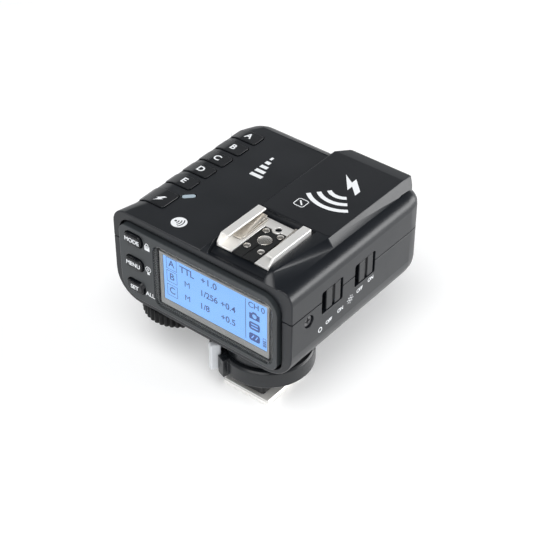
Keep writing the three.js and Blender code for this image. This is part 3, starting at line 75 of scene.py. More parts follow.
camera_data = bpy.data.cameras.new("camera")
camera_data.sensor_width = 36
camera_data.lens = 101.1
camera_data.clip_start = 0.01
away = Vector((
    sin(CAMERA_AZIMUTH) * cos(CAMERA_HEIGHT),
    -cos(CAMERA_AZIMUTH) * cos(CAMERA_HEIGHT),
    sin(CAMERA_HEIGHT),
))
camera = aimed(bpy.data.objects.new("camera", camera_data), LOOK_AT + CAMERA_DISTANCE * away, LOOK_AT)
bpy.context.scene.camera = camera

HORIZON = 1.15                        # radiance of the walls near the horizon
CEILING = 0.16                        # radiance overhead
HORIZON_ENDS, CEILING_STARTS = 0.36, 0.54    # sines of the heights where the walls darken

world = bpy.data.worlds.new("studio")
world.use_nodes = True
world_nodes = world.node_tree.nodes
world_links = world.node_tree.links
direction = world_nodes.new("ShaderNodeSeparateXYZ")
world_links.new(world_nodes.new("ShaderNodeTexCoord").outputs["Generated"], direction.inputs[0])
wall_tone = world_nodes.new("ShaderNodeMapRange")
wall_tone.interpolation_type = "SMOOTHSTEP"
wall_tone.inputs["From Min"].default_value = HORIZON_ENDS
wall_tone.inputs["From Max"].default_value = CEILING_STARTS
wall_tone.inputs["To Min"].default_value = HORIZON
wall_tone.inputs["To Max"].default_value = CEILING
world_links.new(direction.outputs["Z"], wall_tone.inputs["Value"])
world_links.new(wall_tone.outputs["Result"], world_nodes["Background"].inputs["Strength"])
world_nodes["Background"].inputs["Color"].default_value = (0.97, 0.985, 1, 1)
bpy.context.scene.world = world
bpy.context.scene.view_settings.view_transform = "Standard"


def soft_box(name, place, target, size, watts):
    """A rectangular area light of a size and power, aimed at a target."""
    light = bpy.data.lights.new(name, "AREA")
    light.shape = "RECTANGLE"
    light.size, light.size_y = size
    light.energy = watts
    return aimed(bpy.data.objects.new(name, light), place, target)


soft_box("soft_box_top", (0.15, -0.45, 0.95), (0, 0, 0.03), (0.9, 0.7), 9)
soft_box("soft_box_side", (0.62, 0.62, 0.26), (0, 0, 0.05), (0.8, 0.42), 6.5)

floor_mesh = bpy.data.meshes.new("table")
half_table = 3.0
TABLE_GLOW = 0.13
table_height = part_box("foot_pin_centre")[0].z - 0.05 * MM
floor_mesh.from_pydata(
    [(x * half_table, y * half_table, table_height) for x, y in ((-1, -1), (1, -1), (1, 1), (-1, 1))],
    [],
    [(0, 1, 2, 3)],
)
table = bpy.data.objects.new("table", floor_mesh)
bpy.context.scene.collection.objects.link(table)
table_material, _, table_shader = shader("pale_table")
table_shader.inputs["Base Color"].default_value = (0.93, 0.93, 0.93, 1)
table_shader.inputs["Roughness"].default_value = 0.9
table_shader.inputs["Emission Color"].default_value = (1, 1, 1, 1)
table_shader.inputs["Emission Strength"].default_value = TABLE_GLOW
floor_mesh.materials.append(table_material)


# ------------------------------------------------------------------ housing
# Two injection-moulded shells of black ABS that meet at a seam round the waist, with the
# sliding battery door in the lower one. Their skin is spark-eroded to a fine satin grain.

def effect_group(name, sockets, outputs):
    """An empty shader node group with value inputs and named outputs."""
    group = bpy.data.node_groups.new(name, "ShaderNodeTree")
    for label, kind, value in sockets:
        socket = group.interface.new_socket(label, in_out="INPUT", socket_type=kind)
        socket.default_value = value
    for label, kind in outputs:
        group.interface.new_socket(label, in_out="OUTPUT", socket_type=kind)
    ends = group.nodes.new("NodeGroupInput"), group.nodes.new("NodeGroupOutput")
    return group, *ends


def noise(tree, coordinates, scale, detail=2.0, roughness=0.5):
    """A noise texture on given coordinates; scale may be a number or a socket."""
    node = tree.nodes.new("ShaderNodeTexNoise")
    node.inputs["Detail"].default_value = detail
    node.inputs["Roughness"].default_value = roughness
    if isinstance(scale, (int, float)):
        node.inputs["Scale"].default_value = scale
    else:
        tree.links.new(scale, node.inputs["Scale"])
    tree.links.new(coordinates, node.inputs["Vector"])
    return node.outputs["Fac"]


def calculate(tree, operation, *values):
    """A Math node on sockets or numbers."""
    node = tree.nodes.new("ShaderNodeMath")
    node.operation = operation
    for socket, value in zip(node.inputs, values):
        if isinstance(value, (int, float)):
            socket.default_value = value
        else:
            tree.links.new(value, socket)
    return node.outputs[0]


def spread(tree, value, low, high, to_low, to_high):
    """Maps a value from one range to another, clamped at its ends."""
    node = tree.nodes.new("ShaderNodeMapRange")
    for label, number in (("From Min", low), ("From Max", high), ("To Min", to_low), ("To Max", to_high)):
        if isinstance(number, (int, float)):
            node.inputs[label].default_value = number
        else:
            tree.links.new(number, node.inputs[label])
    tree.links.new(value, node.inputs["Value"])
    return node.outputs["Result"]


def moulded_surface():
    """Node group: fine grain height, handling smudges that shift the gloss, and a tone that
    drifts slowly, all from noise on object coordinates."""
    value = "NodeSocketFloat"
    group, given, result = effect_group(
        "moulded_surface",
        [("Grain Scale", value, 7000), ("Gloss", value, 0.45), ("Gloss Drift", value, 0.08),
         ("Tone Low", value, 0.9), ("Tone High", value, 1.1)],
        [("Height", value), ("Roughness", value), ("Tone", value)],
    )
    place = group.nodes.new("ShaderNodeTexCoord").outputs["Object"]
    fine = noise(group, place, given.outputs["Grain Scale"], 3)
    coarse_scale = calculate(group, "MULTIPLY", given.outputs["Grain Scale"], 0.31)
    coarse = noise(group, place, coarse_scale, 1)
    height = calculate(group, "ADD", fine, calculate(group, "MULTIPLY", coarse, 0.6))
    smudge = noise(group, place, 70, 4, 0.6)
    speck = spread(group, fine, 0.3, 0.7, -0.5, 0.5)
    drift = calculate(group, "MULTIPLY_ADD", spread(group, smudge, 0.35, 0.65, -1, 1),
                      given.outputs["Gloss Drift"], given.outputs["Gloss"])
    gloss = calculate(group, "MULTIPLY_ADD", speck, 0.05, drift)
    tone = spread(group, noise(group, place, 35, 3), 0.3, 0.7, given.outputs["Tone Low"],
                  given.outputs["Tone High"])
    group.links.new(height, result.inputs["Height"])
    group.links.new(gloss, result.inputs["Roughness"])
    group.links.new(tone, result.inputs["Tone"])
    return group


surface_group = moulded_surface()


def moulded_material(name, colour, gloss, depth=0.012, drift=0.06, grain=7000, shine=0.44):
    """A material on the moulded surface group: colour times its tone, its gloss and its grain."""
    material, tree, principled = shader(name)
    surface = tree.nodes.new("ShaderNodeGroup")
    surface.node_tree = surface_group
    surface.inputs["Grain Scale"].default_value = grain
    surface.inputs["Gloss"].default_value = gloss
    surface.inputs["Gloss Drift"].default_value = drift
    tint = tree.nodes.new("ShaderNodeMix")
    tint.data_type = "RGBA"
    tint.blend_type = "MULTIPLY"
    tint.inputs["Factor"].default_value = 1
    tint.inputs["A"].default_value = (*colour, 1)
    grey = tree.nodes.new("ShaderNodeCombineColor")
    for channel in grey.inputs[:3]:
        tree.links.new(surface.outputs["Tone"], channel)
    tree.links.new(grey.outputs["Color"], tint.inputs["B"])
    tree.links.new(tint.outputs["Result"], principled.inputs["Base Color"])
    tree.links.new(surface.outputs["Roughness"], principled.inputs["Roughness"])
    principled.inputs["Specular IOR Level"].default_value = shine
    bump = tree.nodes.new("ShaderNodeBump")
    bump.inputs["Strength"].default_value = 0.5
    bump.inputs["Distance"].default_value = depth * MM
    tree.links.new(surface.outputs["Height"], bump.inputs["Height"])
    tree.links.new(bump.outputs["Normal"], principled.inputs["Normal"])
    return material


def finished(piece, material, body, slot, *nodes):
    """Gives a piece its material and the body it rides on, and hides the nodes it stands for; its slot is
    not used.
    """
    piece.data.materials.clear()
    piece.data.materials.append(material)
    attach(piece, body)
    if nodes:
        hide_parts(*nodes)
    return piece


def linked(name, mesh):
    """A new object for a mesh, at the origin."""
    piece = bpy.data.objects.new(name, mesh)
    bpy.context.scene.collection.objects.link(piece)
    return piece


def rounded(node, edge, weigh=None, sharp=30, segments=2):
    """A node's own solid as a new piece: doubles merged, flat facets joined, smooth across the
    curved facets, and its sharp edges rounded by edge times a weight from 0 to 1 that weigh
    gives for each edge's middle, in millimetres."""
    mesh = bpy.data.meshes.new(f"{node}_skin")
    solid = bmesh.new()
    solid.from_mesh(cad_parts[node].data)
    bmesh.ops.remove_doubles(solid, verts=solid.verts, dist=0.002 * MM)
    bmesh.ops.dissolve_limit(solid, angle_limit=radians(0.7), verts=solid.verts, edges=solid.edges)
    solid.to_mesh(mesh)
    solid.free()
    mesh.polygons.foreach_set("use_smooth", np.ones(len(mesh.polygons), bool))
    mesh.set_sharp_from_angle(angle=radians(sharp))
    piece = linked(f"{node}_skin", mesh)
    if edge:
        places = np.zeros(len(mesh.vertices) * 3)
        mesh.vertices.foreach_get("co", places)
        places = places.reshape(-1, 3) / MM
        ends = np.zeros(len(mesh.edges) * 2, int)
        mesh.edges.foreach_get("vertices", ends)
        middles = places[ends.reshape(-1, 2)].mean(1)
        weights = np.ones(len(middles)) if weigh is None else weigh(middles)
        is_sharp = np.zeros(len(mesh.edges), bool)
        mesh.attributes["sharp_edge"].data.foreach_get("value", is_sharp)
        store = mesh.attributes.new("bevel_weight_edge", "FLOAT", "EDGE")
        store.data.foreach_set("value", (weights * is_sharp).astype(np.float32))
        bevel = piece.modifiers.new("edge", "BEVEL")
        bevel.limit_method = "WEIGHT"
        bevel.width = edge * MM
        bevel.segments = segments
        bevel.use_clamp_overlap = False
        bevel.harden_normals = True
        bevel.miter_outer = "MITER_ARC"
    even = piece.modifiers.new("even", "WEIGHTED_NORMAL")
    even.keep_sharp = True
    return piece


housing_black = moulded_material("housing_black", (0.0058, 0.0074, 0.0102), 0.33, 0.006, 0.03)
finished(rounded("top_cover", 0.16), housing_black, "housing", "housing_plastic", "top_cover")
finished(rounded("bottom_case", 0.16), housing_black, "housing", "housing_plastic", "bottom_case")
finished(rounded("battery_door", 0.15), housing_black, "battery_door", "housing_plastic", "battery_door")


# ------------------------------------------------------------------ deck plate
# A thin self-adhesive plate of black film lies on the deck ahead of the shoe. It is die cut
# with small round corners and has a matt, finely textured face.

def closed_slab(name, outline, low, high):
    """A flat slab: the outline's points in order (counterclockwise), as a bottom ring at low and
    a top ring at high, closed by one face each."""
    outline = np.asarray(outline, float)
    count = len(outline)
    rings = np.concatenate([
        np.column_stack([outline, np.full(count, low)]),
        np.column_stack([outline, np.full(count, high)]),
    ]) * MM
    here = np.arange(count)
    ahead = (here + 1) % count
    walls = np.column_stack([here, ahead, ahead + count, here + count])
    mesh = bpy.data.meshes.new(name)
    mesh.from_pydata(rings, [], [list(here[::-1]), list(here + count), *walls.tolist()])
    return linked(name, mesh)


def round_corners(corners, radii, steps=6):
    """A counterclockwise polygon with each corner turned into an arc: points at the corner's
    radius from a centre on its bisector, swept from one edge's normal to the next one's."""
    corners = np.asarray(corners, float)
    points = []
    for before, corner, after, radius in zip(
        np.roll(corners, 1, 0), corners, np.roll(corners, -1, 0), radii
    ):
        into = (corner - before) / np.linalg.norm(corner - before)
        out = (after - corner) / np.linalg.norm(after - corner)
        turn = np.arctan2(into[0] * out[1] - into[1] * out[0], into @ out)
        reach = radius * np.tan(turn / 2)
        normal = np.array([-into[1], into[0]])
        centre = corner - into * reach + normal * radius
        start = np.arctan2(-normal[1], -normal[0])
        sweep = start + np.linspace(0, turn, steps)
        points.append(centre + radius * np.column_stack([np.cos(sweep), np.sin(sweep)]))
    return np.concatenate(points)


DECK_TOP = 58.0
PLATE_THICK = 0.08
PLATE_INSET = 0.25
PLATE_LEFT = -10.9
PLATE_REAR, PLATE_FRONT = 11.9, 50.1
PLATE_RIGHT = (15.6, 15.9)            # at the rear and at the front
PLATE_SINK = 0.02                     # how far the plate is pressed into the deck

film_black = moulded_material("film_black", (0.0048, 0.006, 0.0086), 0.36, 0.005, 0.03, 11000)
plate_outline = round_corners(
    [
        (PLATE_LEFT + PLATE_INSET, PLATE_REAR), (PLATE_RIGHT[0], PLATE_REAR),
        (PLATE_RIGHT[1] - PLATE_INSET, PLATE_FRONT), (PLATE_LEFT + PLATE_INSET, PLATE_FRONT),
    ],
    (0.3, 1.5, 0.6, 0.6),
)
plate = closed_slab("deck_plate", plate_outline, DECK_TOP - PLATE_SINK, DECK_TOP + PLATE_THICK)
finished(plate, film_black, "housing", "panel_plastic")


# ------------------------------------------------------------------ rear panel and display
# A grey moulded panel with a clear acrylic window let into it. Behind the window a pale grey
# frame holds a blue backlit display whose characters are dark violet liquid crystal.

panel_grey = moulded_material("panel_grey", (0.03, 0.0345, 0.0375), 0.38, 0.006, 0.04)
finished(rounded("rear_panel", 0.28), panel_grey, "housing", "panel_plastic", "rear_panel")

window_clear, window_tree, window_shader = shader("window_clear")
window_shader.inputs["Base Color"].default_value = (1, 1, 1, 1)
window_shader.inputs["Transmission Weight"].default_value = 1
window_shader.inputs["IOR"].default_value = 1.12
window_wipe = noise(window_tree, window_tree.nodes.new("ShaderNodeTexCoord").outputs["Object"], 60, 3)
window_tree.links.new(
    spread(window_tree, window_wipe, 0.35, 0.75, 0.0, 0.035),
    window_shader.inputs["Roughness"],
)
finished(rounded("display_window", 0.12), window_clear, "housing", "clear_window", "display_window")

bezel_beige = moulded_material("bezel_beige", (0.3, 0.3, 0.295), 0.5, 0.004)
finished(rounded("display_frame", 0.1), bezel_beige, "housing", "display_bezel", "display_frame")


def display_glow():
    """Material of the lit display: a blue that drifts a little across the back light, given off
    as light as well as reflected."""
    material, tree, principled = shader("display_blue")
    place = tree.nodes.new("ShaderNodeTexCoord").outputs["Object"]
    drift = spread(tree, noise(tree, place, 28, 2), 0.3, 0.7, 0.0, 1.0)
    mix = tree.nodes.new("ShaderNodeMix")
    mix.data_type = "RGBA"
    mix.inputs["A"].default_value = (0.2, 0.4, 0.76, 1)
    mix.inputs["B"].default_value = (0.225, 0.435, 0.8, 1)
    tree.links.new(drift, mix.inputs["Factor"])
    tree.links.new(mix.outputs["Result"], principled.inputs["Base Color"])
    tree.links.new(mix.outputs["Result"], principled.inputs["Emission Color"])
    principled.inputs["Emission Strength"].default_value = 0.42
    principled.inputs["Roughness"].default_value = 0.5
    principled.inputs["Specular IOR Level"].default_value = 0.2
    return material


finished(rounded("display_cell", 0.05), display_glow(), "housing", "display_blue", "display_cell")


# ------------------------------------------------------------------ display characters
# Liquid crystal segments just in front of the back light: three group boxes, their modes and
# powers, a dividing line, the channel number and small icons. All lie in one plane.

def flat_curve(loops, extrude=0.01):
    """A filled flat curve from closed loops of points, in millimetres; inner loops are holes."""
    curve = bpy.data.curves.new("outline", "CURVE")
    curve.dimensions = "2D"
    curve.fill_mode = "BOTH"
    curve.extrude = extrude
    for loop in loops:
        loop = np.asarray(loop, float)
        spline = curve.splines.new("POLY")
        spline.points.add(len(loop) - 1)
        rows = np.column_stack([loop, np.zeros(len(loop)), np.ones(len(loop))])
        spline.points.foreach_set("co", rows.ravel().astype(np.float32))
        spline.use_cyclic_u = True
    return curve


def words(text, height, stretch=1.0, weight=0.0, extrude=0.01):
    """Lettering in the plain built-in face, centred on its middle, with capitals of a height in
    millimetres."""
    curve = bpy.data.curves.new("lettering", "FONT")
    curve.body = text
    curve.size = height / 0.69
    curve.align_x = "CENTER"
    curve.align_y = "CENTER"
    curve.space_character = stretch
    curve.offset = weight
    curve.extrude = extrude
    return curve


def circle(radius, steps=40):
    """One loop round the origin: points of (cos t, sin t) times the radius."""
    angle = np.linspace(0, 2 * pi, steps, endpoint=False)
    return np.column_stack([np.cos(angle), np.sin(angle)]) * radius


def ring(radius, width, steps=40):
    """Two loops round the origin: a circle of a radius and another one width inside it."""
    return [circle(radius, steps), circle(radius - width, steps)]


LEAST_CORNER = 0.02                   # a rectangle's corners are never sharper than this


def box_loop(width, height, radius=0.0, inset=0.0):
    """A rectangle round the origin with rounded corners, taken in by an inset."""
    w, h = width / 2 - inset, height / 2 - inset
    corners = [(-w, -h), (w, -h), (w, h), (-w, h)]
    return round_corners(corners, [max(radius - inset, LEAST_CORNER)] * 4, 4)


def frame_loops(width, height, line, radius=0.0):
    """Two rectangles round the origin, one a line's width inside the other."""
    return [box_loop(width, height, radius, inset) for inset in (0.0, line)]


def bar_loop(start, end, width):
    """The four corners of a straight bar of a width from start to end."""
    start, end = np.asarray(start, float), np.asarray(end, float)
    along = (end - start) / np.linalg.norm(end - start)
    side = np.array([-along[1], along[0]]) * width / 2
    return np.array([start - side, end - side, end + side, start + side])


def shifted(loops, x, y):
    """Loops moved by (x, y)."""
    return [np.asarray(loop, float) + (x, y) for loop in loops]


def sheet_of(name, marks):
    """One flat mesh in millimetres from marks, each a (curve, x, y): every curve is turned into
    a mesh, moved by its x and y, and all are joined."""
    corners, faces, count = [], [], 0
    for curve, x, y in marks:
        holder = linked("mark", curve)
        bpy.context.view_layer.update()
        shape = bpy.data.meshes.new_from_object(holder.evaluated_get(bpy.context.evaluated_depsgraph_get()))
        co = np.zeros(len(shape.vertices) * 3)
        shape.vertices.foreach_get("co", co)
        corners.append(co.reshape(-1, 3) + (x, y, 0))
        faces += [[v + count for v in polygon.vertices] for polygon in shape.polygons]
        count += len(shape.vertices)
        bpy.data.objects.remove(holder)
        bpy.data.meshes.remove(shape)
    return name, np.concatenate(corners), faces


def mended(mesh, merge=0.001):
    """A mesh with points closer than merge, in millimetres, made one and its faces turned
    outwards; a merge of 0 joins nothing."""
    solid = bmesh.new()
    solid.from_mesh(mesh)
    if merge:
        bmesh.ops.remove_doubles(solid, verts=solid.verts, dist=merge * MM)
    bmesh.ops.recalc_face_normals(solid, faces=solid.faces)
    solid.to_mesh(mesh)
    solid.free()
    return mesh


def printed(sheet, origin, right, up):
    """Lays a flat sheet of marks on a plane: each point goes to origin + x right + y up +
    z (right x up); all in millimetres."""
    name, corners, faces = sheet
    right, up = np.asarray(right, float), np.asarray(up, float)
    axes = np.stack([right, up, np.cross(right, up)])
    mesh = bpy.data.meshes.new(name)
    mesh.from_pydata((np.asarray(origin) + corners @ axes) * MM, [], faces)
    return linked(name, mended(mesh))


def ink(name, colour, gloss):
    """Printed ink: its colour worn thin in fine flecks by noise, over a slight film height."""
    material, tree, principled = shader(name)
    place = tree.nodes.new("ShaderNodeTexCoord").outputs["Object"]
    fleck = spread(tree, noise(tree, place, 2600, 3, 0.7), 0.3, 0.42, 0.86, 1.0)
    tint = tree.nodes.new("ShaderNodeMix")
    tint.data_type = "RGBA"
    tint.blend_type = "MULTIPLY"
    tint.inputs["Factor"].default_value = 1
    tint.inputs["A"].default_value = (*colour, 1)
    grey = tree.nodes.new("ShaderNodeCombineColor")
    for channel in grey.inputs[:3]:
        tree.links.new(fleck, channel)
    tree.links.new(grey.outputs["Color"], tint.inputs["B"])
    tree.links.new(tint.outputs["Result"], principled.inputs["Base Color"])
    principled.inputs["Roughness"].default_value = gloss
    return material


GLASS_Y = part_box("display_cell")[0].y / MM - 0.02
crystal_violet = ink("crystal_violet", (0.045, 0.085, 0.27), 0.5)
crystal_shader = crystal_violet.node_tree.nodes["Principled BSDF"]
crystal_shader.inputs["Emission Color"].default_value = (0.07, 0.12, 0.4, 1)
crystal_shader.inputs["Emission Strength"].default_value = 0.2

display_rows = (("A", 43.9), ("B", 38.8), ("C", 33.3))
display_marks = []
for letter, row in display_rows:
    display_marks.append((flat_curve(frame_loops(4.3, 4.5, 0.16)), -25.1, row))
    display_marks.append((words(letter, 2.5, weight=0.035), -25.1, row))
display_marks += [
    (words("TTL", 2.5, 0.95, 0.045), -18.8, 43.8),
    (words("+1.0", 2.4, 1.05, 0.045), -9.9, 43.8),
    (words("M", 2.2), -18.8, 38.8),
    (words("1/256", 2.3, 0.95, 0.035), -10.0, 38.6),
    (words("+0.4", 2.3, 1.0, 0.035), -2.3, 38.6),
    (words("M", 2.2), -18.8, 33.4),
    (words("1/8", 2.3, 0.95, 0.035), -11.8, 33.4),
    (words("+0.5", 2.3, 1.0, 0.035), -2.3, 33.4),
    (flat_curve([bar_loop((0, -7.8), (0, 7.8), 0.2)]), 4.65, 37.9),
    (words("CH 0", 2.1, 0.95, 0.03), 8.9, 44.2),
    (flat_curve([
        [(-2, -1.3), (2, -1.3), (2, 0.9), (1.1, 0.9), (0.6, 1.6), (-0.6, 1.6), (-1.1, 0.9), (-2, 0.9)],
        circle(0.85, 20),
    ]), 8.1, 40.3),
    (flat_curve([
        box_loop(4.2, 3.0, 0.8),
        bar_loop((-1.3, -0.5), (1.3, -0.5), 0.5),
        bar_loop((-1.3, 0.6), (1.3, 0.6), 0.5),
    ]), 8.1, 36.3),
    (flat_curve([
        box_loop(4.2, 3.0, 0.8),
        bar_loop((-1.2, -0.7), (-0.2, 0.8), 0.4),
        bar_loop((0.4, -0.7), (1.2, 0.8), 0.4),
    ]), 8.1, 31.9),
    (flat_curve([
        *frame_loops(1.3, 3.4, 0.16, 0.3),
        *[bar_loop((-0.4, rung), (0.4, rung), 0.5) for rung in (-1.1, -0.3, 0.5)],
    ]), 12.0, 31.9),
]
characters = printed(sheet_of("display_characters", display_marks), (0, GLASS_Y, 0), (1, 0, 0), (0, 0, 1))
finished(characters, crystal_violet, "housing", "display_blue")


# ------------------------------------------------------------------ rear buttons and legends
# Three pill-shaped caps moulded in black with white legends on them, beside small white icons
# printed on the panel: a padlock, a lamp and a word.

key_black = moulded_material("key_black", (0.0048, 0.0058, 0.0078), 0.3, 0.006, 0.03)
white_ink = ink("white_ink", (0.82, 0.84, 0.86), 0.45)
PANEL_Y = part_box("rear_panel")[0].y / MM
BUTTON_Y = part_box("mode_button")[0].y / MM
INK_THICK = 0.015
LEGEND_HEIGHT = 1.5

for node, legend in (("mode_button", "MODE"), ("menu_button", "MENU"), ("set_button", "SET")):
    finished(rounded(node, 0.25), key_black, node, "key_plastic", node)
    low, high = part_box(node)
    middle = (low + high) / 2 / MM
    mark = sheet_of(f"{node}_legend", [(words(legend, LEGEND_HEIGHT, 1.0, 0.045), 0, 0)])
    legend_piece = printed(mark, (middle.x, BUTTON_Y - INK_THICK, middle.z), (1, 0, 0), (0, 0, 1))
    finished(legend_piece, white_ink, node, "key_plastic")

padlock = [
    *[loop * (0.75, 0.95) + (0, 0.45) for loop in ring(0.95, 0.33, 24)],
    [(-1.05, -1.5), (1.05, -1.5), (1.05, 0.35), (-1.05, 0.35)],
]
bulb = [
    *shifted(ring(1.15, 0.22, 28), 0, 0.5),
    [(-0.5, -1.5), (0.5, -1.5), (0.5, -0.75), (-0.5, -0.75)],
    *shifted(ring(0.45, 0.18, 16), 0, 0.55),
]
panel_marks = [
    (flat_curve([padlock[2]]), -34.2, 46.9),
    (flat_curve(padlock[:2]), -34.2, 46.9),
    (flat_curve(bulb), -34.2, 37.4),
    (words("ALL", 1.6, 1.0, 0.03), -33.9, 27.7),
]
panel_print = printed(
    sheet_of("panel_print", panel_marks), (0, PANEL_Y - INK_THICK, 0), (1, 0, 0), (0, 0, 1),
)
finished(panel_print, white_ink, "housing", "panel_plastic")


# ------------------------------------------------------------------ keys and status lamp
# Five group keys and the test key follow the housing's rounded left edge, moulded in black
# with white letters and a bolt printed on them. A frosted light pipe shows the status.

KEY_PROUD = 0.35
BODY_TOP = 54.8
BODY_LEFT = -50.0
EDGE_STATIONS = (-14.5, -6.5, 55.0)
EDGE_RADII = (5.4, 8.4, 6.8)
KEY_LETTER_X, KEY_LETTER_HEIGHT = -41.1, 2.5
TEST_BOLT_X, TEST_BOLT_BACK = -40.6, 1.0


def key_skin(x, y):
    """Height of the key tops: flat, then a quarter circle down the left edge whose radius is
    read from the edge's stations; the key stands proud of it by its own amount."""
    radius = np.interp(y, EDGE_STATIONS, EDGE_RADII)
    across = np.clip(BODY_LEFT + radius - x, 0, None)
    reach = radius + KEY_PROUD
    return BODY_TOP - radius + np.sqrt(np.clip(reach ** 2 - across ** 2, 0.01, None))


def on_key(sheet, x, y):
    """Lays a flat sheet of marks on the key tops: each point at (x, y) plus its own place takes
    the key skin's height, and keeps its own thickness."""
    name, corners, faces = sheet
    places = corners + (x, y, 0)
    places[:, 2] = key_skin(places[:, 0], places[:, 1]) + corners[:, 2] + INK_THICK
    mesh = bpy.data.meshes.new(name)
    mesh.from_pydata(places * MM, [], faces)
    return linked(name, mended(mesh))


bolt = [[
    (0.55, 1.75), (-1.25, -0.15), (-0.35, -0.15), (-1.3, -1.75), (1.25, 0.35), (0.3, 0.35), (1.6, 1.75),
]]
for node in ("group_key_e", "group_key_d", "group_key_c", "group_key_b", "group_key_a", "test_key"):
    finished(rounded(node, 0.22), key_black, node, "key_plastic", node)
    low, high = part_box(node)
    middle_y = (low + high).y / 2 / MM
    if node == "test_key":
        mark = sheet_of("test_key_bolt", [(flat_curve(bolt), 0, 0)])
        finished(on_key(mark, TEST_BOLT_X, middle_y - TEST_BOLT_BACK), white_ink, node, "key_plastic")
    else:
        letter = node[-1].upper()
        mark = sheet_of(f"{node}_letter", [(words(letter, KEY_LETTER_HEIGHT, weight=0.09), 0, 0)])
        finished(on_key(mark, KEY_LETTER_X, middle_y), white_ink, node, "key_plastic")

lamp_frosted = moulded_material("lamp_frosted", (0.36, 0.44, 0.5), 0.35, 0.004)
finished(rounded("status_lamp", 0.15), lamp_frosted, "housing", "lamp_lens", "status_lamp")


# ------------------------------------------------------------------ top print
# White screen print on the cover: a disc with radio waves, a row of rising signal bars and,
# large on the deck plate, a bolt with waves. All marks are plain signs of radio and flash.

def wave(radius, width, half_angle, centre=(0, 0), steps=18):
    """A band of a circle: outer arc out and inner arc back, over twice the half angle, opening
    along +x."""
    angle = np.linspace(-half_angle, half_angle, steps)
    arc = np.column_stack([np.cos(angle), np.sin(angle)])
    return np.concatenate([arc * (radius + width / 2), (arc * (radius - width / 2))[::-1]]) + centre


WAVE_CENTRE = (-1.35, 0)
disc = circle(2.6, 48)
disc_waves = [wave(r, 0.38, radians(42), WAVE_CENTRE) for r in (1.0, 1.9, 2.8)]
disc_dot = shifted([circle(0.42, 16)], *WAVE_CENTRE)
top_z = BODY_TOP + INK_THICK
disc_piece = printed(
    sheet_of("radio_disc", [(flat_curve([disc, *disc_waves, *disc_dot]), 0, 0)]),
    (-27.7, -7.8, top_z), (1, 0, 0), (0, 1, 0),
)
finished(disc_piece, white_ink, "housing", "housing_plastic")

BAR_FOOT, BAR_WIDTH, BAR_RISE = -1.9, 1.5, 0.95
signal_bars = [
    [(x, BAR_FOOT), (x + BAR_WIDTH, BAR_FOOT), (x + BAR_WIDTH, BAR_FOOT + BAR_RISE * (i + 1)),
     (x, BAR_FOOT + BAR_RISE * (i + 1))]
    for i, x in enumerate((-7.0, -4.4, -1.8, 0.8, 3.4))
]
bars_piece = printed(
    sheet_of("signal_bars", [(flat_curve(signal_bars), 0, 0)]),
    (-25.6, 31.0, top_z), (0, -1, 0), (1, 0, 0),
)
finished(bars_piece, white_ink, "housing", "housing_plastic")

deck_z = DECK_TOP + PLATE_THICK + INK_THICK
big_bolt = [np.array(bolt[0]) * 2.6 + (-4.5, 0)]
deck_marks = [
    (flat_curve(big_bolt), 0, 0),
    (flat_curve([wave(r, 1.5, radians(40), (-1.5, 0)) for r in (5.2, 8.6, 12.0)]), 0, 0),
    (flat_curve(frame_loops(4.0, 4.0, 0.3, 0.9)), 13.2, -6.3),
    (flat_curve([bar_loop((-0.9, -0.9), (0.9, 0.9), 0.5)]), 13.2, -6.3),
]
deck_piece = printed(sheet_of("deck_print", deck_marks), (4.4, 33.6, deck_z), (0, -1, 0), (1, 0, 0))
finished(deck_piece, white_ink, "housing", "housing_plastic")


# ------------------------------------------------------------------ slide switches
# Two black sliding knobs in slots across the seam on the right side, with printed signs below:
# a ring and a lamp for what each one switches, and its two places.

for node in ("power_switch_knob", "lamp_switch_knob"):
    finished(rounded(node, 0.22), key_black, node, "key_plastic", node)

SIDE_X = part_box("bottom_case")[1].x / MM
lamp_rays = [
    bar_loop((1.05 * cos(a), 1.05 * sin(a)), (1.6 * cos(a), 1.6 * sin(a)), 0.22)
    for a in np.arange(8) * pi / 4
]
SIDE_LEGEND = 1.35
side_marks = [
    (flat_curve(ring(0.95, 0.26, 28)), -0.4, 32.9),
    (words("OFF", SIDE_LEGEND, 0.9, 0.02), 4.0, 33.6),
    (words("ON", SIDE_LEGEND, 0.9, 0.02), 9.8, 34.3),
    (flat_curve([*ring(0.72, 0.2, 20), *lamp_rays]), 14.9, 35.2),
    (words("OFF", SIDE_LEGEND, 0.9, 0.02), 19.8, 35.9),
    (words("ON", SIDE_LEGEND, 0.9, 0.02), 25.6, 36.6),
]
side_print = printed(sheet_of("side_print", side_marks), (SIDE_X + INK_THICK, 0, 0), (0, 1, 0), (0, 0, 1))
finished(side_print, white_ink, "housing", "housing_plastic")


# ------------------------------------------------------------------ screws
# Cross-slot pan-head screws of blackened steel, drawn as a very shiny dark skin: one through
# the right side and three up through the bottom, each sunk a little in its hole.

screw_black = moulded_material("screw_black", (0.05, 0.05, 0.055), 0.32, 0.003, 0.08, 5000, shine=1.0)
for node in ("side_screw", "base_screw_1", "base_screw_2", "base_screw_3"):
    finished(rounded(node, 0.12), screw_black, "housing", "screw_steel", node)
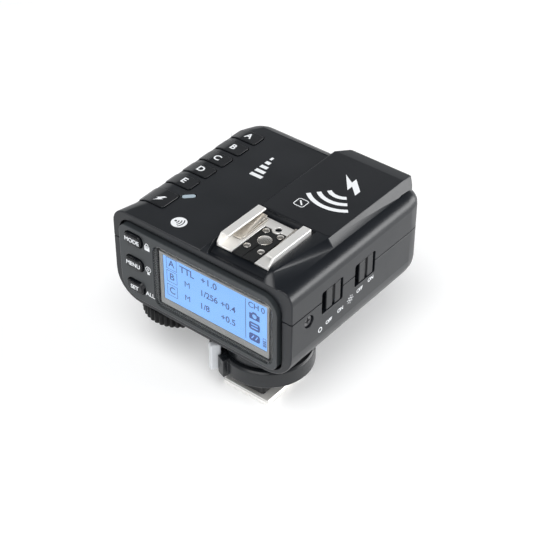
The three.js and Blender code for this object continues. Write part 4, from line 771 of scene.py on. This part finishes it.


# ------------------------------------------------------------------ hot shoe
# A shoe folded from nickel-plated sheet, with two leaf springs beside a black insulator that
# carries five plated contacts. The plating is painted near white and only half metallic: painted
# sheen in place of the satin finish's reflection of the bright room.

def brushed_metal(name, colour, gloss, along, tint=(1, 1, 1), metallic=1.0):
    """Plated sheet: fine draw lines stretched along one axis lift its roughness and height, and
    a slow noise shifts its colour towards a tint."""
    material, tree, principled = shader(name)
    place = tree.nodes.new("ShaderNodeTexCoord").outputs["Object"]
    stretch = tree.nodes.new("ShaderNodeMapping")
    stretch.inputs["Scale"].default_value = [0.05 if axis == along else 1.0 for axis in range(3)]
    tree.links.new(place, stretch.inputs["Vector"])
    lines = noise(tree, stretch.outputs["Vector"], 9000, 3, 0.6)
    cloud = noise(tree, place, 160, 3)
    rough = calculate(tree, "MULTIPLY_ADD", spread(tree, lines, 0.3, 0.7, -1, 1), 0.03, gloss)
    rough = calculate(tree, "MULTIPLY_ADD", spread(tree, cloud, 0.35, 0.65, -1, 1), 0.04, rough)
    tree.links.new(rough, principled.inputs["Roughness"])
    mix = tree.nodes.new("ShaderNodeMix")
    mix.data_type = "RGBA"
    mix.inputs["A"].default_value = (*colour, 1)
    mix.inputs["B"].default_value = (*[c * t for c, t in zip(colour, tint)], 1)
    tree.links.new(spread(tree, cloud, 0.4, 0.7, 0, 1), mix.inputs["Factor"])
    tree.links.new(mix.outputs["Result"], principled.inputs["Base Color"])
    principled.inputs["Metallic"].default_value = metallic
    bump = tree.nodes.new("ShaderNodeBump")
    bump.inputs["Strength"].default_value = 0.12
    bump.inputs["Distance"].default_value = 0.0005 * MM
    tree.links.new(lines, bump.inputs["Height"])
    tree.links.new(bump.outputs["Normal"], principled.inputs["Normal"])
    return material


# Nickel is near white at only 0.55 metallic: its white diffuse half is painted sheen, standing in for the
# satin plating's reflection of the bright room.
nickel = brushed_metal("nickel", (0.93, 0.92, 0.9), 0.36, 1, (0.97, 0.96, 0.94), 0.55)
spring_bronze = brushed_metal("spring_bronze", (0.74, 0.7, 0.64), 0.3, 1, (0.95, 0.92, 0.88), 0.8)
inner_black = moulded_material("inner_black", (0.004, 0.0044, 0.0052), 0.45)
finished(rounded("shoe_frame", 0.24, segments=3), nickel, "housing", "bright_metal", "shoe_frame")
for node in ("shoe_leaf_left", "shoe_leaf_right"):
    finished(rounded(node, 0.08), spring_bronze, "housing", "spring_metal", node)
finished(rounded("shoe_insulator", 0.12), inner_black, "housing", "dark_plastic", "shoe_insulator")

CONTACT_RISE = 0.16
SHOE_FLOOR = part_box("shoe_contact_centre")[1].z / MM - CONTACT_RISE


def turned_mesh(name, profile, centre, steps=48, axis="z", wobble=None):
    """A surface of revolution: every profile point (radius, height) swept round an axis through
    the centre. Profile ends on the axis become single poles. wobble(angle, share) may add to
    the radius, where share runs from 0 to 1 along the profile."""
    profile = np.asarray(profile, float)
    angle = np.linspace(0, 2 * pi, steps, endpoint=False)
    radius = profile[:, 0][:, None] * np.ones(steps)
    if wobble is not None:
        radius = radius + wobble(angle[None, :], profile)
    height = profile[:, 1][:, None] * np.ones(steps)
    u, v = radius * np.cos(angle), radius * np.sin(angle)
    grid = {"z": (u, v, height), "x": (height, u, v)}[axis]
    rows = np.stack(grid, -1).reshape(-1, 3) + centre
    i = np.arange(len(profile) - 1)[:, None] * steps
    j = np.arange(steps)[None, :]
    ahead = (j + 1) % steps
    faces = np.stack([i + j, i + ahead, i + steps + ahead, i + steps + j], -1).reshape(-1, 4)
    mesh = bpy.data.meshes.new(name)
    mesh.from_pydata(rows * MM, [], faces.tolist())
    mended(mesh, 0.0005)
    mesh.polygons.foreach_set("use_smooth", np.ones(len(mesh.polygons), bool))
    mesh.set_sharp_from_angle(angle=radians(35))
    return linked(name, mesh)


def dome(radius, rise, low, edge=0.14, steps=7):
    """Profile of a contact: up its side, round a small edge and over a shallow spherical cap,
    where the cap's height falls with the square of the radius."""
    turn = np.linspace(0, pi / 2, 4)
    side = np.column_stack([radius - edge + edge * np.cos(turn), SHOE_FLOOR + edge * (np.sin(turn) - 1)])
    share = np.linspace(1, 0, steps)
    cap = np.column_stack([(radius - edge) * share, SHOE_FLOOR + rise * (1 - share ** 2)])
    return np.concatenate([[(0, low), (radius, low)], side, cap[1:]])


contact_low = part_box("shoe_contact_centre")[0].z / MM
contact_silver = brushed_metal("contact_silver", (0.8, 0.78, 0.75), 0.26, 0, (0.92, 0.88, 0.82))
for node in ["shoe_contact_centre"] + [f"shoe_contact_{i}" for i in (1, 2, 3, 4)]:
    low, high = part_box(node)
    middle = (low + high) / 2 / MM
    reach = (high - low).x / 2 / MM
    contact = turned_mesh(f"{node}_dome", dome(reach, 0.15, contact_low), (middle.x, middle.y, 0), 40)
    finished(contact, contact_silver, "housing", "gold_contact", node)


# ------------------------------------------------------------------ select dial
# A black wheel on a short shaft under the rear left corner. Forty rounded teeth are moulded
# round its rim, chamfered at both faces, and its underside is dished.

low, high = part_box("select_dial")
DIAL_RADIUS = (high - low).x / 2 / MM
dial_middle = (low + high) / 2 / MM
DIAL_LOW, SHAFT_TOP = low.z / MM, high.z / MM
RUN_GAP = 0.35
DIAL_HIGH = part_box("bottom_case")[0].z / MM - RUN_GAP
SHAFT_RADIUS = 3.0
TEETH = 40
TOOTH_DEPTH = 0.75
CHAMFER = 0.45
RIM_DEPTH = 1.2                       # the teeth fade out over this much of the radius


def tooth_wave(angle, profile):
    """Cut into the rim between teeth: a cosine of the tooth count, flattened at its tops by a
    power, only on points that lie near the rim's radius."""
    valley = (0.5 - 0.5 * np.cos(TEETH * angle)) ** 1.6
    near = np.clip((profile[:, :1] - (DIAL_RADIUS - RIM_DEPTH)) / RIM_DEPTH, 0, 1)
    return -TOOTH_DEPTH * valley * near


dial_profile = [
    (0, DIAL_LOW + 0.7), (6.4, DIAL_LOW + 0.7), (6.7, DIAL_LOW + 0.62), (7.3, DIAL_LOW + 0.06),
    (7.6, DIAL_LOW), (DIAL_RADIUS - RIM_DEPTH, DIAL_LOW), (DIAL_RADIUS - CHAMFER, DIAL_LOW),
    (DIAL_RADIUS - 0.1, DIAL_LOW + 0.3), (DIAL_RADIUS, DIAL_LOW + CHAMFER + 0.1),
    (DIAL_RADIUS, DIAL_HIGH - CHAMFER - 0.1), (DIAL_RADIUS - 0.1, DIAL_HIGH - 0.3),
    (DIAL_RADIUS - CHAMFER, DIAL_HIGH), (DIAL_RADIUS - RIM_DEPTH, DIAL_HIGH), (SHAFT_RADIUS, DIAL_HIGH),
    (SHAFT_RADIUS, SHAFT_TOP), (0, SHAFT_TOP),
]
dial_black = moulded_material("dial_black", (0.0022, 0.0026, 0.003), 0.4, 0.006, 0.04, shine=0.22)
STEPS_PER_TOOTH = 12
dial = turned_mesh(
    "dial_wheel", dial_profile, (dial_middle.x, dial_middle.y, 0), TEETH * STEPS_PER_TOOTH, "z", tooth_wave,
)
finished(dial, dial_black, "select_dial", "key_plastic", "select_dial")
finished(rounded("dial_encoder", 0.15), inner_black, "housing", "dark_plastic", "dial_encoder")


# ------------------------------------------------------------------ quick-lock ring and foot
# A dark grey ring turns on the neck's core and drives the locking pin. A pale lever is fixed
# to it. The foot is a nickel-plated plate with a black insert and sprung contact pins.

ring_grey = moulded_material("ring_grey", (0.009, 0.0105, 0.0125), 0.3, 0.006, 0.04)
finished(rounded("lock_ring", 0.22), ring_grey, "lock_ring", "ring_plastic", "lock_ring")
finished(rounded("neck_collar", 0.3, segments=3), ring_grey, "housing", "ring_plastic", "neck_collar")
lever_pale = moulded_material("lever_pale", (0.62, 0.635, 0.66), 0.36, 0.006)
finished(rounded("lock_lever", 0.5, segments=3), lever_pale, "lock_ring", "lever_plastic", "lock_lever")
finished(rounded("neck", 0.2), inner_black, "housing", "dark_plastic", "neck")
finished(rounded("foot_plate", 0.15), nickel, "housing", "bright_metal", "foot_plate")
finished(rounded("foot_insulator", 0.12), inner_black, "housing", "dark_plastic", "foot_insulator")
pin_gold = brushed_metal("pin_gold", (0.9, 0.68, 0.34), 0.22, 2)
finished(rounded("lock_pin", 0.15), nickel, "lock_pin", "bright_metal", "lock_pin")
for node in ["foot_pin_centre"] + [f"foot_pin_{i}" for i in (1, 2, 3, 4)]:
    low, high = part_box(node)
    middle = (low + high) / 2 / MM
    reach = (high - low).x / 2 / MM
    bottom, top = low.z / MM, high.z / MM
    turn = np.linspace(0, pi / 2, 6)
    tip = np.column_stack([reach * np.sin(turn), bottom + reach * 0.45 * (1 - np.cos(turn))])
    pin = turned_mesh(f"{node}_tip", [*tip, (reach, top), (0, top)], (middle.x, middle.y, 0), 28)
    finished(pin, pin_gold, node, "gold_contact", node)


# ------------------------------------------------------------------ batteries
# Two AA cells lie side by side across the case in a black tray, sleeved in grey film with
# steel ends, between coil springs and flat plates of plated steel.

finished(rounded("battery_tray", 0.2), inner_black, "housing", "dark_plastic", "battery_tray")
cell_sleeve = moulded_material("cell_sleeve", (0.2, 0.22, 0.24), 0.28, 0.002, 0.1)
CAN_EDGE, BASE_EDGE = 0.6, 0.4        # roundings of a cell's shoulder and of its flat end
BUTTON_LENGTH = 1.3
for node in ("battery_cell_rear", "battery_cell_front"):
    low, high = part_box(node)
    middle = (low + high) / 2 / MM
    cell_radius = (high - low).y / 2 / MM
    left, right = low.x / MM, high.x / MM
    hand = 1 if node == "battery_cell_rear" else -1
    flat_end, tip_end = (left, right) if hand > 0 else (right, left)
    shoulder = tip_end - hand * BUTTON_LENGTH
    turn = np.linspace(0, pi / 2, 5)
    shell = np.column_stack([
        cell_radius - CAN_EDGE + CAN_EDGE * np.cos(turn),
        shoulder + hand * CAN_EDGE * (np.sin(turn) - 1),
    ])
    base = np.column_stack([
        cell_radius - BASE_EDGE + BASE_EDGE * np.sin(turn),
        flat_end + hand * BASE_EDGE * (1 - np.cos(turn)),
    ])
    profile = [
        (0, flat_end), *base, *shell, (2.9, shoulder), (2.7, shoulder + hand * 0.3),
        (2.7, tip_end - hand * 0.3), (2.4, tip_end), (0, tip_end),
    ]
    cell = turned_mesh(f"{node}_sleeve", profile, (0, middle.y, middle.z), 48, "x")
    finished(cell, cell_sleeve, "housing", "cell_jacket", node)


def helix_sweep(name, centre, radius, start, end, turns, wire, sides=8):
    """A round wire along a helix on the x axis: centre line (x, r cos t, r sin t) with x rising
    steadily, and a circle of points across the line's own radial and axial directions; both
    ends are closed by one face."""
    steps = int(turns * 24) + 1
    t = np.linspace(0, 2 * pi * turns, steps)
    across = np.linspace(0, 2 * pi, sides, endpoint=False)
    out = np.stack([np.zeros(steps), np.cos(t), np.sin(t)], -1)
    line = np.stack([np.linspace(start, end, steps), radius * np.cos(t), radius * np.sin(t)], -1)
    along_x = np.array([1.0, 0, 0])
    tube = (line[:, None] + wire * (np.cos(across)[None, :, None] * out[:, None]
                                    + np.sin(across)[None, :, None] * along_x))
    i = np.arange(steps - 1)[:, None] * sides
    j = np.arange(sides)[None, :]
    ahead = (j + 1) % sides
    faces = np.stack([i + j, i + sides + j, i + sides + ahead, i + ahead], -1).reshape(-1, 4).tolist()
    caps = [list(range(sides)), list(range((steps - 1) * sides, steps * sides))[::-1]]
    mesh = bpy.data.meshes.new(name)
    mesh.from_pydata((tube.reshape(-1, 3) + centre) * MM, [], faces + caps)
    mended(mesh, 0)
    mesh.polygons.foreach_set("use_smooth", np.ones(len(mesh.polygons), bool))
    return linked(name, mesh)


SPRING_WIRE, SPRING_TURNS = 0.3, 3    # wire radius and number of turns
for node in ("cell_spring_rear", "cell_spring_front"):
    low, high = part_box(node)
    middle = (low + high) / 2 / MM
    spring = helix_sweep(
        f"{node}_coil", (0, middle.y, middle.z), (high - low).z / 2 / MM - SPRING_WIRE,
        low.x / MM + SPRING_WIRE, high.x / MM - SPRING_WIRE, SPRING_TURNS, SPRING_WIRE,
    )
    finished(spring, nickel, "housing", "spring_metal", node)
for node in ("cell_plate_rear", "cell_plate_front"):
    finished(rounded(node, 0.1), nickel, "housing", "bright_metal", node)


# ------------------------------------------------------------------ boards and switch block
# Three green circuit boards: the main one behind the display, one under the keys and the
# radio board under the deck. Both slide switches sit in one black block.

def board_material():
    """Solder mask with copper traces below it: a brick pattern's joints, drawn thin and long,
    lift the green and the height of the mask."""
    material, tree, principled = shader("board_green")
    place = tree.nodes.new("ShaderNodeTexCoord").outputs["Object"]
    traces = tree.nodes.new("ShaderNodeTexBrick")
    traces.inputs["Scale"].default_value = 300
    traces.inputs["Mortar Size"].default_value = 0.05
    traces.inputs["Color1"].default_value = (0.008, 0.07, 0.03, 1)
    traces.inputs["Color2"].default_value = (0.01, 0.085, 0.036, 1)
    traces.inputs["Mortar"].default_value = (0.03, 0.16, 0.07, 1)
    tree.links.new(place, traces.inputs["Vector"])
    tree.links.new(traces.outputs["Color"], principled.inputs["Base Color"])
    principled.inputs["Roughness"].default_value = 0.35
    bump = tree.nodes.new("ShaderNodeBump")
    bump.inputs["Distance"].default_value = 0.02 * MM
    tree.links.new(traces.outputs["Fac"], bump.inputs["Height"])
    tree.links.new(bump.outputs["Normal"], principled.inputs["Normal"])
    return material


board_green = board_material()
for node in ("main_board", "key_board", "radio_board"):
    finished(rounded(node, 0.08), board_green, "housing", "circuit_board", node)
finished(rounded("switch_block", 0.15), inner_black, "housing", "dark_plastic", "switch_block")


# ------------------------------------------------------------------ sockets and assist window
# On the left side a shielded USB socket and a sync jack; on the front the ruby window of the
# focus-assist lamp, ribbed inside and polished outside.

finished(rounded("usb_socket", 0.12), nickel, "housing", "bright_metal", "usb_socket")
finished(rounded("sync_jack", 0.2), inner_black, "housing", "dark_plastic", "sync_jack")


def ruby_material():
    """Clear red acrylic over a ribbed inner face: a wave across x darkens and lights the red,
    under a smooth coat."""
    material, tree, principled = shader("ruby")
    place = tree.nodes.new("ShaderNodeTexCoord").outputs["Object"]
    ribs = tree.nodes.new("ShaderNodeTexWave")
    ribs.inputs["Scale"].default_value = 320
    ribs.inputs["Distortion"].default_value = 0
    tree.links.new(place, ribs.inputs["Vector"])
    mix = tree.nodes.new("ShaderNodeMix")
    mix.data_type = "RGBA"
    mix.inputs["A"].default_value = (0.035, 0.0015, 0.003, 1)
    mix.inputs["B"].default_value = (0.11, 0.004, 0.008, 1)
    tree.links.new(ribs.outputs["Fac"], mix.inputs["Factor"])
    tree.links.new(mix.outputs["Result"], principled.inputs["Base Color"])
    principled.inputs["Roughness"].default_value = 0.12
    principled.inputs["Coat Weight"].default_value = 0.6
    principled.inputs["Coat Roughness"].default_value = 0.03
    return material


finished(rounded("assist_lamp_window", 0.25, segments=3), ruby_material(), "housing", "red_window",
         "assist_lamp_window")
